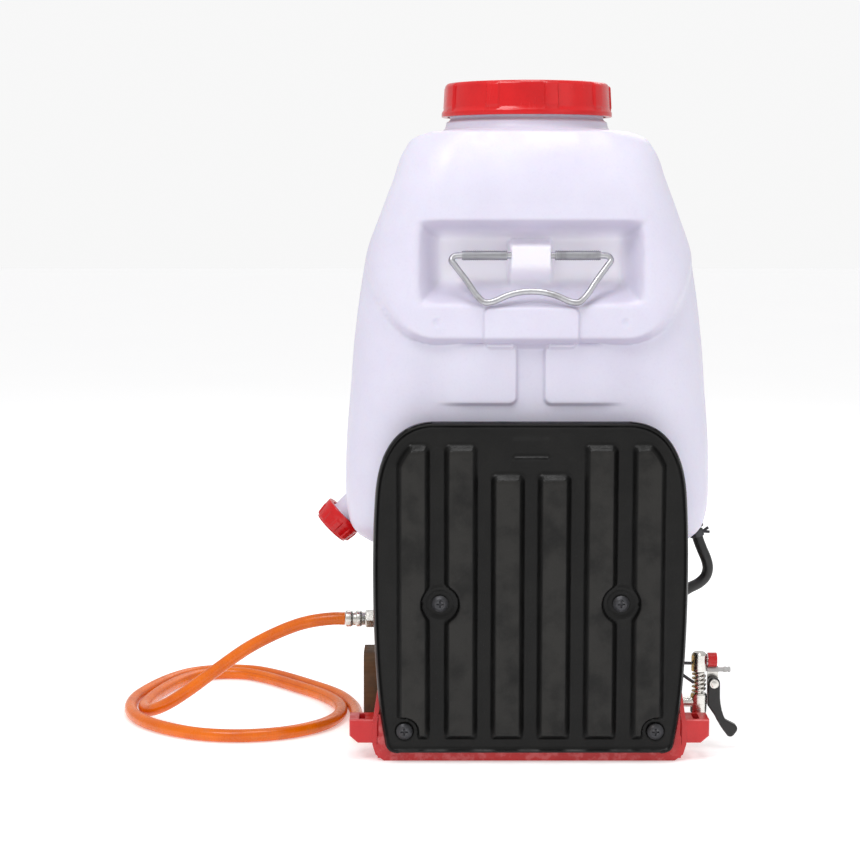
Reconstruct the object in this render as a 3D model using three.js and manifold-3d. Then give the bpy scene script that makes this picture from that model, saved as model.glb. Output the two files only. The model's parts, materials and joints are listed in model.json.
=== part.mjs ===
// Backpack power sprayer: a blow-moulded tank on a steel carrier, with an engine-driven plunger pump below it.
// Millimetres, +Z up. The origin is on the floor under the filler neck, and the wearer's back is at -Y.
import * as THREE from "three";
import { mergeVertices } from "three/addons/utils/BufferGeometryUtils.js";
import Module from "manifold-3d";

const wasm = await Module();
wasm.setup();

// ---- driving dimensions ----
const GAP = 0.3; // clearance between touching pieces
const WALL = 3.5; // tank wall
const ROUND = 20; // facets of a large round piece
const SMALL = 12; // facets of a small round piece

const TANK_BOTTOM = 201;
const TANK_TOP = 601;
const BULGE_FRONT = -118; // the upper half stands forward of the lower half
const BODY_FRONT = -106;
const BODY_BACK = 118;
const NECK_R = 79.5;
const THREAD_R = 75.5;
const MOUTH_R = 69;
const NECK_TOP = 641;
const CAP_R = 84;
const CAP_INNER = 78;
const CAP_BOTTOM = 617;
const CAP_TOP = 649.5;
const CAP_LUGS = 9;

const BAIL_WIRE_R = 3;
const BAIL_Y = -105;
const BAIL_Z = 484;
const BAIL_LEAN = THREE.MathUtils.degToRad(21);
const SLEEVE_X = [22.6, 65.5]; // the straight top arms of the bail are sleeved
const SLEEVE_R = 4.7;

const DRAIN_AT = [-181, 0, 221];
const DRAIN_DIR = [-Math.SQRT1_2, 0, -Math.SQRT1_2];
const DRAIN_R = 22.5;
const DRAIN_LENGTH = 20.5;
const SPOUT_R = 15;

const PLATE_HALF = 150.5;
const PLATE_TOP = 328.5;
const PLATE_BOTTOM = 9;
const PLATE_FACE = -131;
const PLATE_BACK = -127;
const RIM_BACK = -124.4;
const RIB_FACE = -138;
const RIB_WIDTH = 33; // at its foot
const RIB_DRAFT = 6; // each side of a rib slopes in by this much
const RIBS = [[22, 280], [66.3, 308], [111.5, 308]]; // centre and top of each rib on one side
const MID_SCREW = { x: 86, z: 155, pocket: 16.5 };
const LOW_SCREW = { x: 120, z: 31, pocket: 12 };
const SCREW_HEAD_R = 8;
const SCREW_R = 3;

const BASE_HALF = 151;
const BASE_FRONT = -124;
const BASE_BACK = 112;
const FLOOR_T = 5;
const BED_Z = [19, 22];
const ISOLATOR = { x: 100, y: 80, r: 11 };
const SHELF_Z = [TANK_BOTTOM - 3.5, TANK_BOTTOM - 0.4];
const LEG = { x: 129, y: 60, r: 7 };

const CRANK = { x: -20, z: 66 }; // the crankshaft runs along Y
const CYLINDER_Y = 30;
const FIN_COUNT = 6;
const FIN_PITCH = 9;
const FAN_R = 43;
const CASE_BACK = 58;
const COVER_BACK = 112;
const ROPE_Z = 90; // the starter rope leaves its pulley along +X here
const FUEL = [76, 62]; // the fuel filler
const PLUNGER = { y: -64, z: 68 }; // the pump plunger runs along X

const REG = { x: 168, y: -80, spigotZ: 79.2 };
const KNOB = { from: REG.x + 8.2, to: REG.x + 17, r: 6.8, z: 89 };
const LEVER_PIVOT = { x: REG.x + 14.5, z: 66 };
const HOSE_R = 6.5;
const SUCTION_R = 5.5;
const OUTLET_DIR = [0.272, 0, -0.962];
const UNION_Z = 113;

// Centre line of the spray hose: it leaves the union, drops in one curve, then lies on the floor in an open
// loop that it follows for almost two turns, the second turn lying just outside the first.
const SPRAY_ROUTE = [
  [-182, 0, 113], [-194, 0, 113], [-219, 3, 109], [-243, 7, 100.5], [-280, 10, 81.5], [-314, 8.5, 58], [-344, 7, 36],
  [-366, 12.5, 21], [-385, 29, 10.5], [-395.5, 55, 7], [-394, 90, 6.5], [-386, 130, 6.5],
  [-370.5, 174.5, 6.5], [-355, 196.5, 6.5], [-330.5, 208, 6.5], [-303.5, 205.5, 6.5], [-282.5, 191.5, 6.5],
  [-244, 149, 6.5], [-209, 104, 6.5], [-190.5, 62, 6.5], [-190, 22, 6.5], [-205, -15, 6.5],
  [-237, -44, 6.5], [-279, -57, 6.5], [-322, -52, 6.5], [-360, -30, 6.5], [-390, 2, 6.5],
  [-407.5, 42, 6.5], [-411, 88, 6.5], [-401, 136, 6.5], [-383, 181.5, 6.5], [-362.5, 209, 6.5],
  [-330.5, 222.5, 6.5], [-296.5, 218.5, 6.5], [-271, 201, 6.5], [-231, 157, 6.5], [-193.5, 106, 6.5],
  [-176.5, 60, 6.5], [-171.5, 22, 7.8], [-169, -8, 9.2],
];
// Centre line of the suction hose, from the tank outlet to the pump inlet.
const SUCTION_ROUTE = [
  [173.4, 0, 204.6], [176.2, 0, 194.7], [180.4, 0, 184], [184.6, 0, 174], [186.3, 0, 165], [184, 0, 156.5],
  [177.5, -0.5, 150], [168, -2.5, 145.5], [157.5, -8, 140.5], [146, -18.5, 134.5], [132.5, -33, 131],
  [121.2, -44.8, 131],
];

// ---- geometry helpers ----

/** A closed three.js geometry as a solid. */
function solidOf(geometry) {
  const plain = geometry.clone();
  plain.deleteAttribute("normal");
  plain.deleteAttribute("uv");
  const merged = mergeVertices(plain, 1e-4);
  const vertProperties = merged.attributes.position.array;
  const triVerts = new Uint32Array(merged.index.array);
  return new wasm.Manifold(new wasm.Mesh({ numProp: 3, vertProperties, triVerts }));
}

/** A solid as a three.js geometry. */
function geometryOf(solid) {
  const mesh = solid.getMesh();
  const geometry = new THREE.BufferGeometry();
  geometry.setAttribute("position", new THREE.BufferAttribute(mesh.vertProperties, 3));
  geometry.setIndex(new THREE.BufferAttribute(mesh.triVerts, 1));
  geometry.computeVertexNormals();
  return geometry;
}

const join = (first, ...more) =>
  geometryOf(more.reduce((whole, piece) => whole.add(solidOf(piece)), solidOf(first)));
const cut = (first, ...tools) =>
  geometryOf(tools.reduce((whole, tool) => whole.subtract(solidOf(tool)), solidOf(first)));
const common = (first, second) => geometryOf(solidOf(first).intersect(solidOf(second)));

/** A rounded rectangle from its low and high corners. */
function roundedRect([x0, x1], [y0, y1], radius) {
  const shape = new THREE.Shape();
  shape.moveTo(x0 + radius, y0).lineTo(x1 - radius, y0);
  shape.absarc(x1 - radius, y0 + radius, radius, -Math.PI / 2, 0);
  shape.lineTo(x1, y1 - radius).absarc(x1 - radius, y1 - radius, radius, 0, Math.PI / 2);
  shape.lineTo(x0 + radius, y1).absarc(x0 + radius, y1 - radius, radius, Math.PI / 2, Math.PI);
  shape.lineTo(x0, y0 + radius).absarc(x0 + radius, y0 + radius, radius, Math.PI, 1.5 * Math.PI);
  return shape;
}

/** An extrusion along local +Z with both ends bevelled inside the drawn outline. */
function extruded(shape, depth, { bevel = 0, curveSegments = 4 } = {}) {
  return new THREE.ExtrudeGeometry(shape, {
    depth: depth - 2 * bevel,
    curveSegments,
    bevelEnabled: bevel > 0,
    bevelSegments: 1,
    bevelThickness: bevel,
    bevelSize: bevel,
    bevelOffset: -bevel,
  }).translate(0, 0, bevel);
}

/** A cast block between low and high limits, its corners rounded as seen along one axis. */
function casting(x, y, z, { axis = "z", radius = 4 } = {}) {
  const [a, b, c] = { x: [y, z, x], y: [z, x, y], z: [x, y, z] }[axis];
  const geometry = extruded(roundedRect(a, b, radius), c[1] - c[0], { curveSegments: 2 });
  geometry.translate(0, 0, c[0]);
  const [ux, uy, uz] = { x: "yzx", y: "zxy", z: "xyz" }[axis].split("").map(unit);
  return geometry.applyMatrix4(new THREE.Matrix4().makeBasis(ux, uy, uz));
}

const unit = (axis) => new THREE.Vector3(axis === "x" ? 1 : 0, axis === "y" ? 1 : 0, axis === "z" ? 1 : 0);

/** A plain box between low and high limits. */
function block(x, y, z) {
  const size = [x, y, z].map(([low, high]) => high - low);
  const middle = [x, y, z].map(([low, high]) => (low + high) / 2);
  return new THREE.BoxGeometry(...size).translate(...middle);
}

/** A shape drawn in X and Z, extruded from its back face at y = back forward to y = front. */
function faced(shape, back, front, options) {
  return extruded(shape, back - front, options).rotateX(Math.PI / 2).translate(0, back, 0);
}

/** Turns a geometry whose axis is +Y to lie along a direction, and moves it to a point. */
function aimed(geometry, at, direction) {
  const way = new THREE.Vector3(...direction).normalize();
  geometry.applyQuaternion(new THREE.Quaternion().setFromUnitVectors(unit("y"), way));
  return geometry.translate(...at);
}

/** A round bar between two points. */
function rod(from, to, radius, facets = SMALL) {
  const start = new THREE.Vector3(...from);
  const way = new THREE.Vector3(...to).sub(start);
  const bar = new THREE.CylinderGeometry(radius, radius, way.length(), facets);
  return aimed(bar, start.addScaledVector(way, 0.5).toArray(), way.toArray());
}

/** A turned piece from [radius, height] pairs, along a direction from a point. */
function turned(profile, at, direction = [0, 0, 1], facets = ROUND) {
  const points = profile.map(([radius, height]) => new THREE.Vector2(radius, height));
  return aimed(new THREE.LatheGeometry(points, facets), at, direction);
}

/** A turned ring between two radii and two heights. */
function ring(inner, outer, low, high, at, direction, facets) {
  const profile = [[inner, low], [outer, low], [outer, high], [inner, high], [inner, low]];
  return turned(profile, at, direction, facets);
}

/** A round section swept along a smooth curve through points. */
function swept(points, radius, sides, steps) {
  const path = new THREE.CatmullRomCurve3(points.map((p) => new THREE.Vector3(...p)), false, "centripetal");
  const section = new THREE.Shape();
  section.absarc(0, 0, radius, 0, 2 * Math.PI);
  return new THREE.ExtrudeGeometry(section, { steps, curveSegments: sides / 2, extrudePath: path });
}

/** A point moved along a direction. */
const shifted = (point, direction, distance) => point.map((value, i) => value + direction[i] * distance);

/** A closed body through level sections: z, half width, front, back and corner radius of each. */
function loft(sections, perCorner = 3) {
  const positions = [];
  const index = [];
  const count = 4 * (perCorner + 1);
  for (const [z, half, front, back, corner] of sections) {
    const centres = [[half, back], [-half, back], [-half, front], [half, front]];
    centres.forEach(([x, y], quarter) => {
      const cx = x - Math.sign(x) * corner;
      const cy = quarter < 2 ? y - corner : y + corner;
      for (let i = 0; i <= perCorner; i++) {
        const angle = (quarter + i / perCorner) * (Math.PI / 2);
        positions.push(cx + corner * Math.cos(angle), cy + corner * Math.sin(angle), z);
      }
    });
  }
  for (let level = 0; level + 1 < sections.length; level++)
    for (let i = 0; i < count; i++) {
      const a = level * count + i;
      const b = level * count + ((i + 1) % count);
      index.push(a, b, b + count, a, b + count, a + count);
    }
  const last = (sections.length - 1) * count;
  for (let i = 1; i + 1 < count; i++) {
    index.push(0, i + 1, i);
    index.push(last, last + i, last + i + 1);
  }
  const geometry = new THREE.BufferGeometry();
  geometry.setAttribute("position", new THREE.Float32BufferAttribute(positions, 3));
  geometry.setIndex(index);
  return geometry;
}

// ---- finishes ----
const paint = (color, roughness, metalness = 0) => new THREE.MeshStandardMaterial({ color, roughness, metalness });
const tankPlastic = () => paint(0xe4dff0, 0.45);
const redPlastic = () => paint(0xc41f1f, 0.3);
const blackPlastic = () => paint(0x2c2c2b, 0.5);
const rubber = () => paint(0x161616, 0.7);
const steel = () => paint(0xa9a9ad, 0.35, 1);
const aluminium = () => paint(0xb9bcc0, 0.5, 1);
const darkSteel = () => paint(0x33343a, 0.5, 0.8);
const brass = () => paint(0xb28a45, 0.35, 1);
const nickel = () => paint(0xc8c6c0, 0.25, 1);
const orangeHose = () => paint(0xe9720f, 0.35);
const muffle = () => paint(0x4a3a22, 0.6, 0.5);

const sprayer = new THREE.Group();
function add(name, geometry, material) {
  const mesh = new THREE.Mesh(geometry, material);
  mesh.name = name;
  sprayer.add(mesh);
  return mesh;
}

// ---- tank ----
// Height, half width and corner radius of each level section.
const HALF_WIDTHS = [
  [201, 150, 34], [205.5, 162, 50], [214, 171, 58], [230, 176.5, 62], [255, 178.5, 62], [300, 177.5, 62],
  [350, 173.5, 62], [400, 169.5, 62], [460, 161.5, 62], [490, 155.5, 61], [520, 144.5, 58], [555, 131, 55],
  [585, 119.5, 50], [597, 108, 44], [601, 95, 36],
];
/** How far the front and back faces draw in at a height: the edges at the top and bottom are rounded. */
function drawnIn(z) {
  const foot = Math.max(0, 1 - (z - TANK_BOTTOM) / 36);
  const head = Math.max(0, 1 - (TANK_TOP - z) / 60);
  return 22 * foot ** 2.6 + 24 * head ** 2;
}
const sections = (front, inset, from) =>
  HALF_WIDTHS.filter(([z]) => z >= from).map(([z, half, corner]) => [
    z + (z === TANK_BOTTOM ? inset : z === TANK_TOP ? -inset : 0),
    half - inset,
    front + inset + drawnIn(z),
    BODY_BACK - inset - drawnIn(z),
    corner - inset,
  ]);

/** The outline of the upper bulge, whose lower edge is the crease across the tank. */
function bulgeOutline(inset) {
  const outline = new THREE.Shape();
  outline.moveTo(-200, 640).lineTo(-200, 500 + inset).lineTo(-160, 478 + inset);
  outline.bezierCurveTo(-146 + inset, 428 + inset, -122 + inset, 400 + inset, -88, 400 + inset);
  outline.lineTo(88, 400 + inset);
  outline.bezierCurveTo(122 - inset, 400 + inset, 146 - inset, 428 + inset, 160, 478 + inset);
  outline.lineTo(200, 500 + inset).lineTo(200, 640);
  return outline;
}
const bulge = (inset) =>
  common(loft(sections(BULGE_FRONT, inset, 350)), faced(bulgeOutline(inset), 20, -140, { curveSegments: 6 }));

/** The hand recess in the front of the bulge: wide at the face, with sloped walls down to its floor. */
function recess(grow) {
  const mouth = [3, 110 + grow, 434 - grow, 519 + grow, 12];
  const floor = [-(34 + grow), 84 + grow, 462 - grow, 497.5 + grow, 10];
  return loft([floor, mouth], 2).rotateX(Math.PI / 2).translate(0, BULGE_FRONT, 0);
}

/** A low pad on the tank's front face, from its limits in X and Z. */
const pad = (x, z, back, front) => faced(roundedRect(x, z, 8), back, front, { bevel: 1.5, curveSegments: 3 });

const outletTop = [166.5, 0, 229];
const outletCollar = shifted(outletTop, OUTLET_DIR, 20);
const outletEnd = shifted(outletTop, OUTLET_DIR, 25);

function tank() {
  const outer = join(
    loft(sections(BODY_FRONT, 0, TANK_BOTTOM)),
    bulge(0),
    turned([[0, 560], [NECK_R - 1, 560], [NECK_R - 1, 604], [NECK_R, 606], [NECK_R, 611], [THREAD_R, 614],
      [THREAD_R, NECK_TOP], [0, NECK_TOP]], [0, 0, 0]),
    pad([-45, 45], [397, 436], -112, BULGE_FRONT - 3),
    pad([-90, -12], [343, 396], -100, BODY_FRONT - 4),
    pad([12, 90], [343, 396], -100, BODY_FRONT - 4),
    rod(shifted(DRAIN_AT, DRAIN_DIR, -24), shifted(DRAIN_AT, DRAIN_DIR, 13), SPOUT_R),
  );
  const cavity = cut(
    join(
      loft(sections(BODY_FRONT, WALL, TANK_BOTTOM)),
      bulge(WALL),
      turned([[0, 570], [MOUTH_R, 570], [MOUTH_R, 660], [0, 660]], [0, 0, 0]),
    ),
    recess(WALL),
    rod(shifted(DRAIN_AT, DRAIN_DIR, -12), shifted(DRAIN_AT, DRAIN_DIR, 40), SPOUT_R + WALL),
  );
  const bailLug = casting([-22, 22], [-110, -78], [472, 495], { axis: "y", radius: 6 });
  return cut(
    join(cut(outer, recess(0)), bailLug),
    cavity,
    rod(shifted(DRAIN_AT, DRAIN_DIR, -30), shifted(DRAIN_AT, DRAIN_DIR, 20), 10.5),
    rod([-30, BAIL_Y, BAIL_Z], [-8, BAIL_Y, BAIL_Z], BAIL_WIRE_R + GAP),
    rod([8, BAIL_Y, BAIL_Z], [30, BAIL_Y, BAIL_Z], BAIL_WIRE_R + GAP),
    rod(shifted(outletTop, OUTLET_DIR, -12), shifted(outletTop, OUTLET_DIR, 40), 4.3),
    rod(shifted(outletCollar, OUTLET_DIR, -GAP), shifted(outletTop, OUTLET_DIR, 40), 9.4),
  );
}

add("tank", tank(), tankPlastic());

// ---- filler: basket, gasket and screw cap ----
function strainer() {
  const floor = NECK_TOP - 95;
  const rim = NECK_TOP + GAP;
  const cup = turned([[0, floor], [60, floor], [64, rim], [THREAD_R - 2, rim], [THREAD_R - 2, rim + 2],
    [61.5, rim + 2], [57.5, floor + 2.5], [0, floor + 2.5]], [0, 0, 0]);
  const windows = Array.from({ length: 4 }, (_, i) =>
    block([-13, 13], [-90, 90], [floor + 14, floor + 78]).rotateZ((i * Math.PI) / 4));
  return cut(cup, ...windows);
}
add("filler_strainer", strainer(), paint(0x8d8f94, 0.6));

const GASKET_LOW = NECK_TOP + GAP + 2 + GAP;
add("filler_gasket", ring(63, 75, GASKET_LOW, GASKET_LOW + 2, [0, 0, 0]), rubber());

/** Lugs for the hand round a screw cap, each a short bar proud of its side. */
function lugs(count, radius, size, height, at, direction, turn = 0) {
  return Array.from({ length: count }, (_, i) => {
    const lug = new THREE.BoxGeometry(2 * size, height, size).translate(0, height / 2, radius);
    return aimed(lug.rotateY((i / count) * 2 * Math.PI + turn), at, direction);
  });
}

function fillerCap() {
  const ceiling = GASKET_LOW + 2 + GAP;
  const shell = turned([[CAP_INNER, CAP_BOTTOM], [CAP_R, CAP_BOTTOM], [CAP_R, CAP_BOTTOM + 4],
    [CAP_R - 1.9, CAP_BOTTOM + 6], [CAP_R - 3.5, CAP_TOP - 2.5], [CAP_R - 6, CAP_TOP], [CAP_R - 13.5, CAP_TOP],
    [CAP_R - 15.5, CAP_TOP - 1.2], [0, CAP_TOP - 1.2], [0, ceiling], [CAP_INNER, ceiling],
    [CAP_INNER, CAP_BOTTOM]], [0, 0, 0], [0, 0, 1], 27);
  const height = CAP_TOP - CAP_BOTTOM - 6;
  const grips = lugs(CAP_LUGS, CAP_R - 4.5, 6, height, [0, 0, CAP_BOTTOM + 5], [0, 0, 1], 0.3);
  return join(shell, ...grips);
}
add("filler_cap", fillerCap(), redPlastic());

// ---- drain: gasket and screw cap on the lower left corner ----
add("drain_gasket", ring(9, SPOUT_R, 13 + GAP, 15.3, DRAIN_AT, DRAIN_DIR), rubber());
function drainCap() {
  const shell = turned([[SPOUT_R + 0.8, 0], [DRAIN_R - 1, 0], [DRAIN_R - 1, DRAIN_LENGTH - 1.5],
    [DRAIN_R - 2.5, DRAIN_LENGTH], [0, DRAIN_LENGTH], [0, 15.6], [SPOUT_R + 0.8, 15.6], [SPOUT_R + 0.8, 0]],
  DRAIN_AT, DRAIN_DIR, 24);
  return join(shell, ...lugs(8, DRAIN_R - 2.2, 2.4, DRAIN_LENGTH - 2, DRAIN_AT, DRAIN_DIR));
}
add("drain_cap", drainCap(), redPlastic());

// ---- tank outlet, suction hose and its clips ----
add("tank_outlet", cut(
  join(rod(outletTop, outletEnd, 4), rod(outletCollar, shifted(outletCollar, OUTLET_DIR, 3), 9)),
  rod(shifted(outletTop, OUTLET_DIR, -2), shifted(outletEnd, OUTLET_DIR, 2), 2.4),
), blackPlastic());
add("suction_hose", swept(SUCTION_ROUTE, SUCTION_R, 8, 16), rubber());

/** A spring-steel hose clip: a band with two ears standing out to one side. */
function clip(at, direction) {
  const way = new THREE.Vector3(...direction).normalize().multiplyScalar(3.5);
  const band = [way.clone().negate(), way].map((offset) => new THREE.Vector3(...at).add(offset).toArray());
  const side = new THREE.Vector3().crossVectors(way, unit("y")).normalize();
  const ear = (lean) => {
    const foot = new THREE.Vector3(...at).addScaledVector(side, SUCTION_R + 0.6);
    const tip = foot.clone().addScaledVector(side, 7).addScaledVector(way, lean);
    return rod(foot.toArray(), tip.toArray(), 1.5, 6);
  };
  return cut(join(rod(...band, SUCTION_R + 1.7, 14), ear(0.7), ear(-0.7)), rod(...band, SUCTION_R + 0.6, 14),
    rod(shifted(at, way.toArray(), -2), shifted(at, way.toArray(), 2), SUCTION_R + 0.6, 14));
}
add("hose_clip_upper", clip([174.3, 0, 201.2], [0.27, 0, -0.963]), darkSteel());
add("hose_clip_lower", clip([126.5, -39.5, 131], [-0.69, -0.72, 0]), darkSteel());

// ---- strap bail ----
/** A point of the bail, given across the tank and down from its pivots, with the bail leaning forward. */
const onBail = (x, down) => [x, BAIL_Y - down * Math.sin(BAIL_LEAN), BAIL_Z - down * Math.cos(BAIL_LEAN)];
function bail() {
  const half = [[9, 0], [30, 0], [66, 0], [73, 1], [75.2, 5], [72, 10], [62, 24], [50.5, 41], [44, 46.5], [37, 46],
    [22, 39.5], [8, 36.2]];
  const right = half.map(([x, down]) => onBail(x, down));
  const left = half.map(([x, down]) => onBail(-x, down)).reverse();
  return swept([...right, ...left], BAIL_WIRE_R, 8, 46);
}
add("strap_bail", bail(), steel());
for (const [side, name] of [[-1, "left"], [1, "right"]]) {
  const ends = SLEEVE_X.map((x) => [side * x, BAIL_Y, BAIL_Z]);
  const bore = rod([side * 20, BAIL_Y, BAIL_Z], [side * 70, BAIL_Y, BAIL_Z], BAIL_WIRE_R + GAP);
  add(`bail_sleeve_${name}`, cut(rod(...ends, SLEEVE_R), bore), paint(0x9a9aa0, 0.5, 0.6));
}

// ---- backrest plate ----
function plateOutline(inset) {
  const half = PLATE_HALF - inset;
  const top = PLATE_TOP - inset;
  const low = PLATE_BOTTOM + inset;
  const foot = half - 11;
  const shape = new THREE.Shape();
  shape.moveTo(-foot + 14, low).lineTo(foot - 14, low);
  shape.quadraticCurveTo(foot - 2, low, foot, low + 14);
  shape.bezierCurveTo(half - 1, 70, half + 2, 190, half - 3, 258);
  shape.bezierCurveTo(half - 6, 300, half - 22, top - 2, 94 - inset / 2, top);
  shape.lineTo(-94 + inset / 2, top);
  shape.bezierCurveTo(-half + 22, top - 2, -half + 6, 300, -half + 3, 258);
  shape.bezierCurveTo(-half - 2, 190, -half + 1, 70, -foot, low + 14);
  shape.quadraticCurveTo(-foot + 2, low, -foot + 14, low);
  return shape;
}
/** A bar with drafted sides, drawn deeper than the plate so that its back end can be clipped off. */
function rib(centre, top, inset, front) {
  const x = [centre - RIB_WIDTH / 2 + inset, centre + RIB_WIDTH / 2 - inset];
  return faced(roundedRect(x, [20 + inset, top - inset], 8), -115, front, { bevel: RIB_DRAFT, curveSegments: 2 });
}
/** Every rib on both sides, kept inside the plate's outline. */
function ribs(inset, back, front) {
  const limit = faced(plateOutline(14 + inset), back, -140, { curveSegments: 4 });
  return RIBS.flatMap(([centre, top]) => [centre, -centre].map((x) => common(rib(x, top, inset, front), limit)));
}
function backrest() {
  const rim = cut(faced(plateOutline(0), RIM_BACK, -134, { bevel: 1.5 }),
    faced(plateOutline(4.5), PLATE_FACE, -140), faced(plateOutline(3.5), -110, PLATE_BACK));
  const posts = [];
  const pockets = [];
  for (const { x, z, pocket } of [MID_SCREW, LOW_SCREW])
    for (const side of [-x, x]) {
      posts.push(rod([side, RIM_BACK + 0.1, z], [side, -129, z], 9));
      posts.push(rod([side, -129, z], [side, PLATE_FACE, z], pocket + 2.5));
      pockets.push(rod([side, PLATE_FACE, z], [side, -141, z], pocket, 14));
      pockets.push(rod([side, -100, z], [side, -141, z], SCREW_R + GAP));
    }
  const skin = cut(join(rim, ...ribs(0, PLATE_BACK, RIB_FACE)), ...ribs(3.5, -120, RIB_FACE + 3));
  return cut(join(skin, ...posts), ...pockets);
}
add("backrest_plate", backrest(), blackPlastic());

function plateScrew(x, z) {
  const head = turned([[0, 0], [SCREW_HEAD_R, 0], [SCREW_HEAD_R, 1.6], [5, 4.2], [0, 4.2]],
    [x, PLATE_FACE - GAP, z], [0, -1, 0], 18);
  const cross = [block([x - 3.4, x + 3.4], [-137, -133.4], [z - 0.8, z + 0.8]),
    block([x - 0.8, x + 0.8], [-137, -133.4], [z - 3.4, z + 3.4])];
  return cut(join(head, rod([x, PLATE_FACE - 1, z], [x, -115, z], SCREW_R, 10)), ...cross);
}
const SCREW_SEATS = [[-MID_SCREW.x, MID_SCREW.z], [MID_SCREW.x, MID_SCREW.z], [-LOW_SCREW.x, LOW_SCREW.z],
  [LOW_SCREW.x, LOW_SCREW.z]];
SCREW_SEATS.forEach(([x, z], i) => add(`plate_screw_${i + 1}`, plateScrew(x, z), darkSteel()));

// ---- base tray and carrier ----
/** Section of a side cheek: it flares out from the floor and leans in towards its top. */
function cheek(side) {
  const points = [[130, 0], [140, 0], [148, 6], [BASE_HALF, 16], [BASE_HALF, 34], [145.6, 70], [141.6, 70],
    [146.5, 34], [146.5, 17], [144, 9], [138, FLOOR_T], [130, FLOOR_T]].map(([x, z]) => new THREE.Vector2(side * x, z));
  return faced(new THREE.Shape(side > 0 ? points : points.reverse()), BASE_BACK, BASE_FRONT);
}
/** What is taken off the cheeks behind the front post, so that they slope down to a low rail. */
function cheekSlope() {
  const outline = new THREE.Shape([[-104, 80], [-98, 62], [-72, 20], [130, 20], [130, 80]]
    .map(([y, z]) => new THREE.Vector2(y, z)));
  return extruded(outline, 400).applyMatrix4(new THREE.Matrix4().makeBasis(unit("y"), unit("z"), unit("x")))
    .translate(-200, 0, 0);
}
/** A strap anchor on a cheek: a stout lug with an upright slot for the webbing. */
function strapLug(side) {
  const outline = [[145, 17], [165, 17], [173, 24], [173, 40], [145, 40]];
  const points = outline.map(([x, z]) => new THREE.Vector2(side * x, z));
  return faced(new THREE.Shape(side > 0 ? points : points.reverse()), -94, BASE_FRONT + 1, { bevel: 1.2 });
}
const lugSlot = (side) => block([side * 161 - 3, side * 161 + 3], [-119, -99], [10, 50]);
function baseTray() {
  const floor = casting([-140, 140], [BASE_FRONT, BASE_BACK], [0, FLOOR_T], { radius: 3 });
  const front = block([-146, 146], [BASE_FRONT, BASE_FRONT + 4], [2.5, 24]);
  const back = block([-140, 140], [BASE_BACK - 4, BASE_BACK], [2.5, 22]);
  const posts = [[-145, -103], [103, 145]].map((x) => block(x, [BASE_FRONT, BASE_FRONT + 4], [2.5, 46]));
  const cheeks = cut(join(cheek(-1), cheek(1)), cheekSlope());
  const whole = join(cheeks, floor, front, back, ...posts, strapLug(-1), strapLug(1));
  const holes = [-LOW_SCREW.x, LOW_SCREW.x].map((x) =>
    rod([x, -130, LOW_SCREW.z], [x, -110, LOW_SCREW.z], SCREW_R + GAP));
  return cut(whole, lugSlot(-1), lugSlot(1), ...holes);
}
add("base_tray", baseTray(), redPlastic());

for (const [side, name] of [[-1, "left"], [1, "right"]]) {
  const x = side * MID_SCREW.x;
  const bar = casting([x - 10, x + 10], [-119.7, -111], [FLOOR_T + GAP, 292], { axis: "z", radius: 3 });
  const boss = rod([x, -123.9, MID_SCREW.z], [x, -118, MID_SCREW.z], 8);
  const hole = rod([x, -130, MID_SCREW.z], [x, -105, MID_SCREW.z], SCREW_R + GAP);
  add(`carrier_upright_${name}`, cut(join(bar, boss), hole), darkSteel());
}
function shelf() {
  const plate = casting([-140, 140], [-100, 98], SHELF_Z, { radius: 18 });
  const tabs = [-1, 1].map((side) => block([side * MID_SCREW.x - 10, side * MID_SCREW.x + 10], [-110.7, -95], SHELF_Z));
  const legs = [-LEG.x, LEG.x].map((x) => rod([x, LEG.y, FLOOR_T + GAP], [x, LEG.y, SHELF_Z[0] + 1.5], LEG.r));
  const lip = block([-120, 120], [94, 98], [SHELF_Z[0] - 12.5, SHELF_Z[0] + 1.5]);
  return join(plate, ...tabs, ...legs, lip);
}
add("tank_shelf", shelf(), darkSteel());

// ---- engine bed on rubber mounts ----
let mountNumber = 0;
for (const x of [-ISOLATOR.x, ISOLATOR.x])
  for (const y of [-ISOLATOR.y, ISOLATOR.y]) {
    const profile = [[0, FLOOR_T + GAP], [ISOLATOR.r, FLOOR_T + GAP], [ISOLATOR.r - 2.5, 12],
      [ISOLATOR.r, BED_Z[0] - GAP], [0, BED_Z[0] - GAP]];
    add(`rubber_mount_${++mountNumber}`, turned(profile, [x, y, 0], [0, 0, 1], SMALL), rubber());
  }
add("engine_bed", cut(casting([-128, 132], [-98, 98], BED_Z, { radius: 14 }),
  ...[-1, 1].map((side) => rod([side * LEG.x, LEG.y, 0], [side * LEG.x, LEG.y, 40], LEG.r + 4))), steel());

// ---- engine ----
const BED_TOP = BED_Z[1] + GAP;
const crankAt = (y) => [CRANK.x, y, CRANK.z];
function crankcase() {
  const body = casting([-58, 18], [0, CASE_BACK], [27, 104], { axis: "y", radius: 20 });
  const feet = [-50, -4].map((x) => casting([x, x + 14], [4, 54], [BED_TOP, 50], { radius: 4 }));
  return cut(join(body, ...feet), rod(crankAt(-5), crankAt(70), 9));
}
add("crankcase", crankcase(), aluminium());

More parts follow.
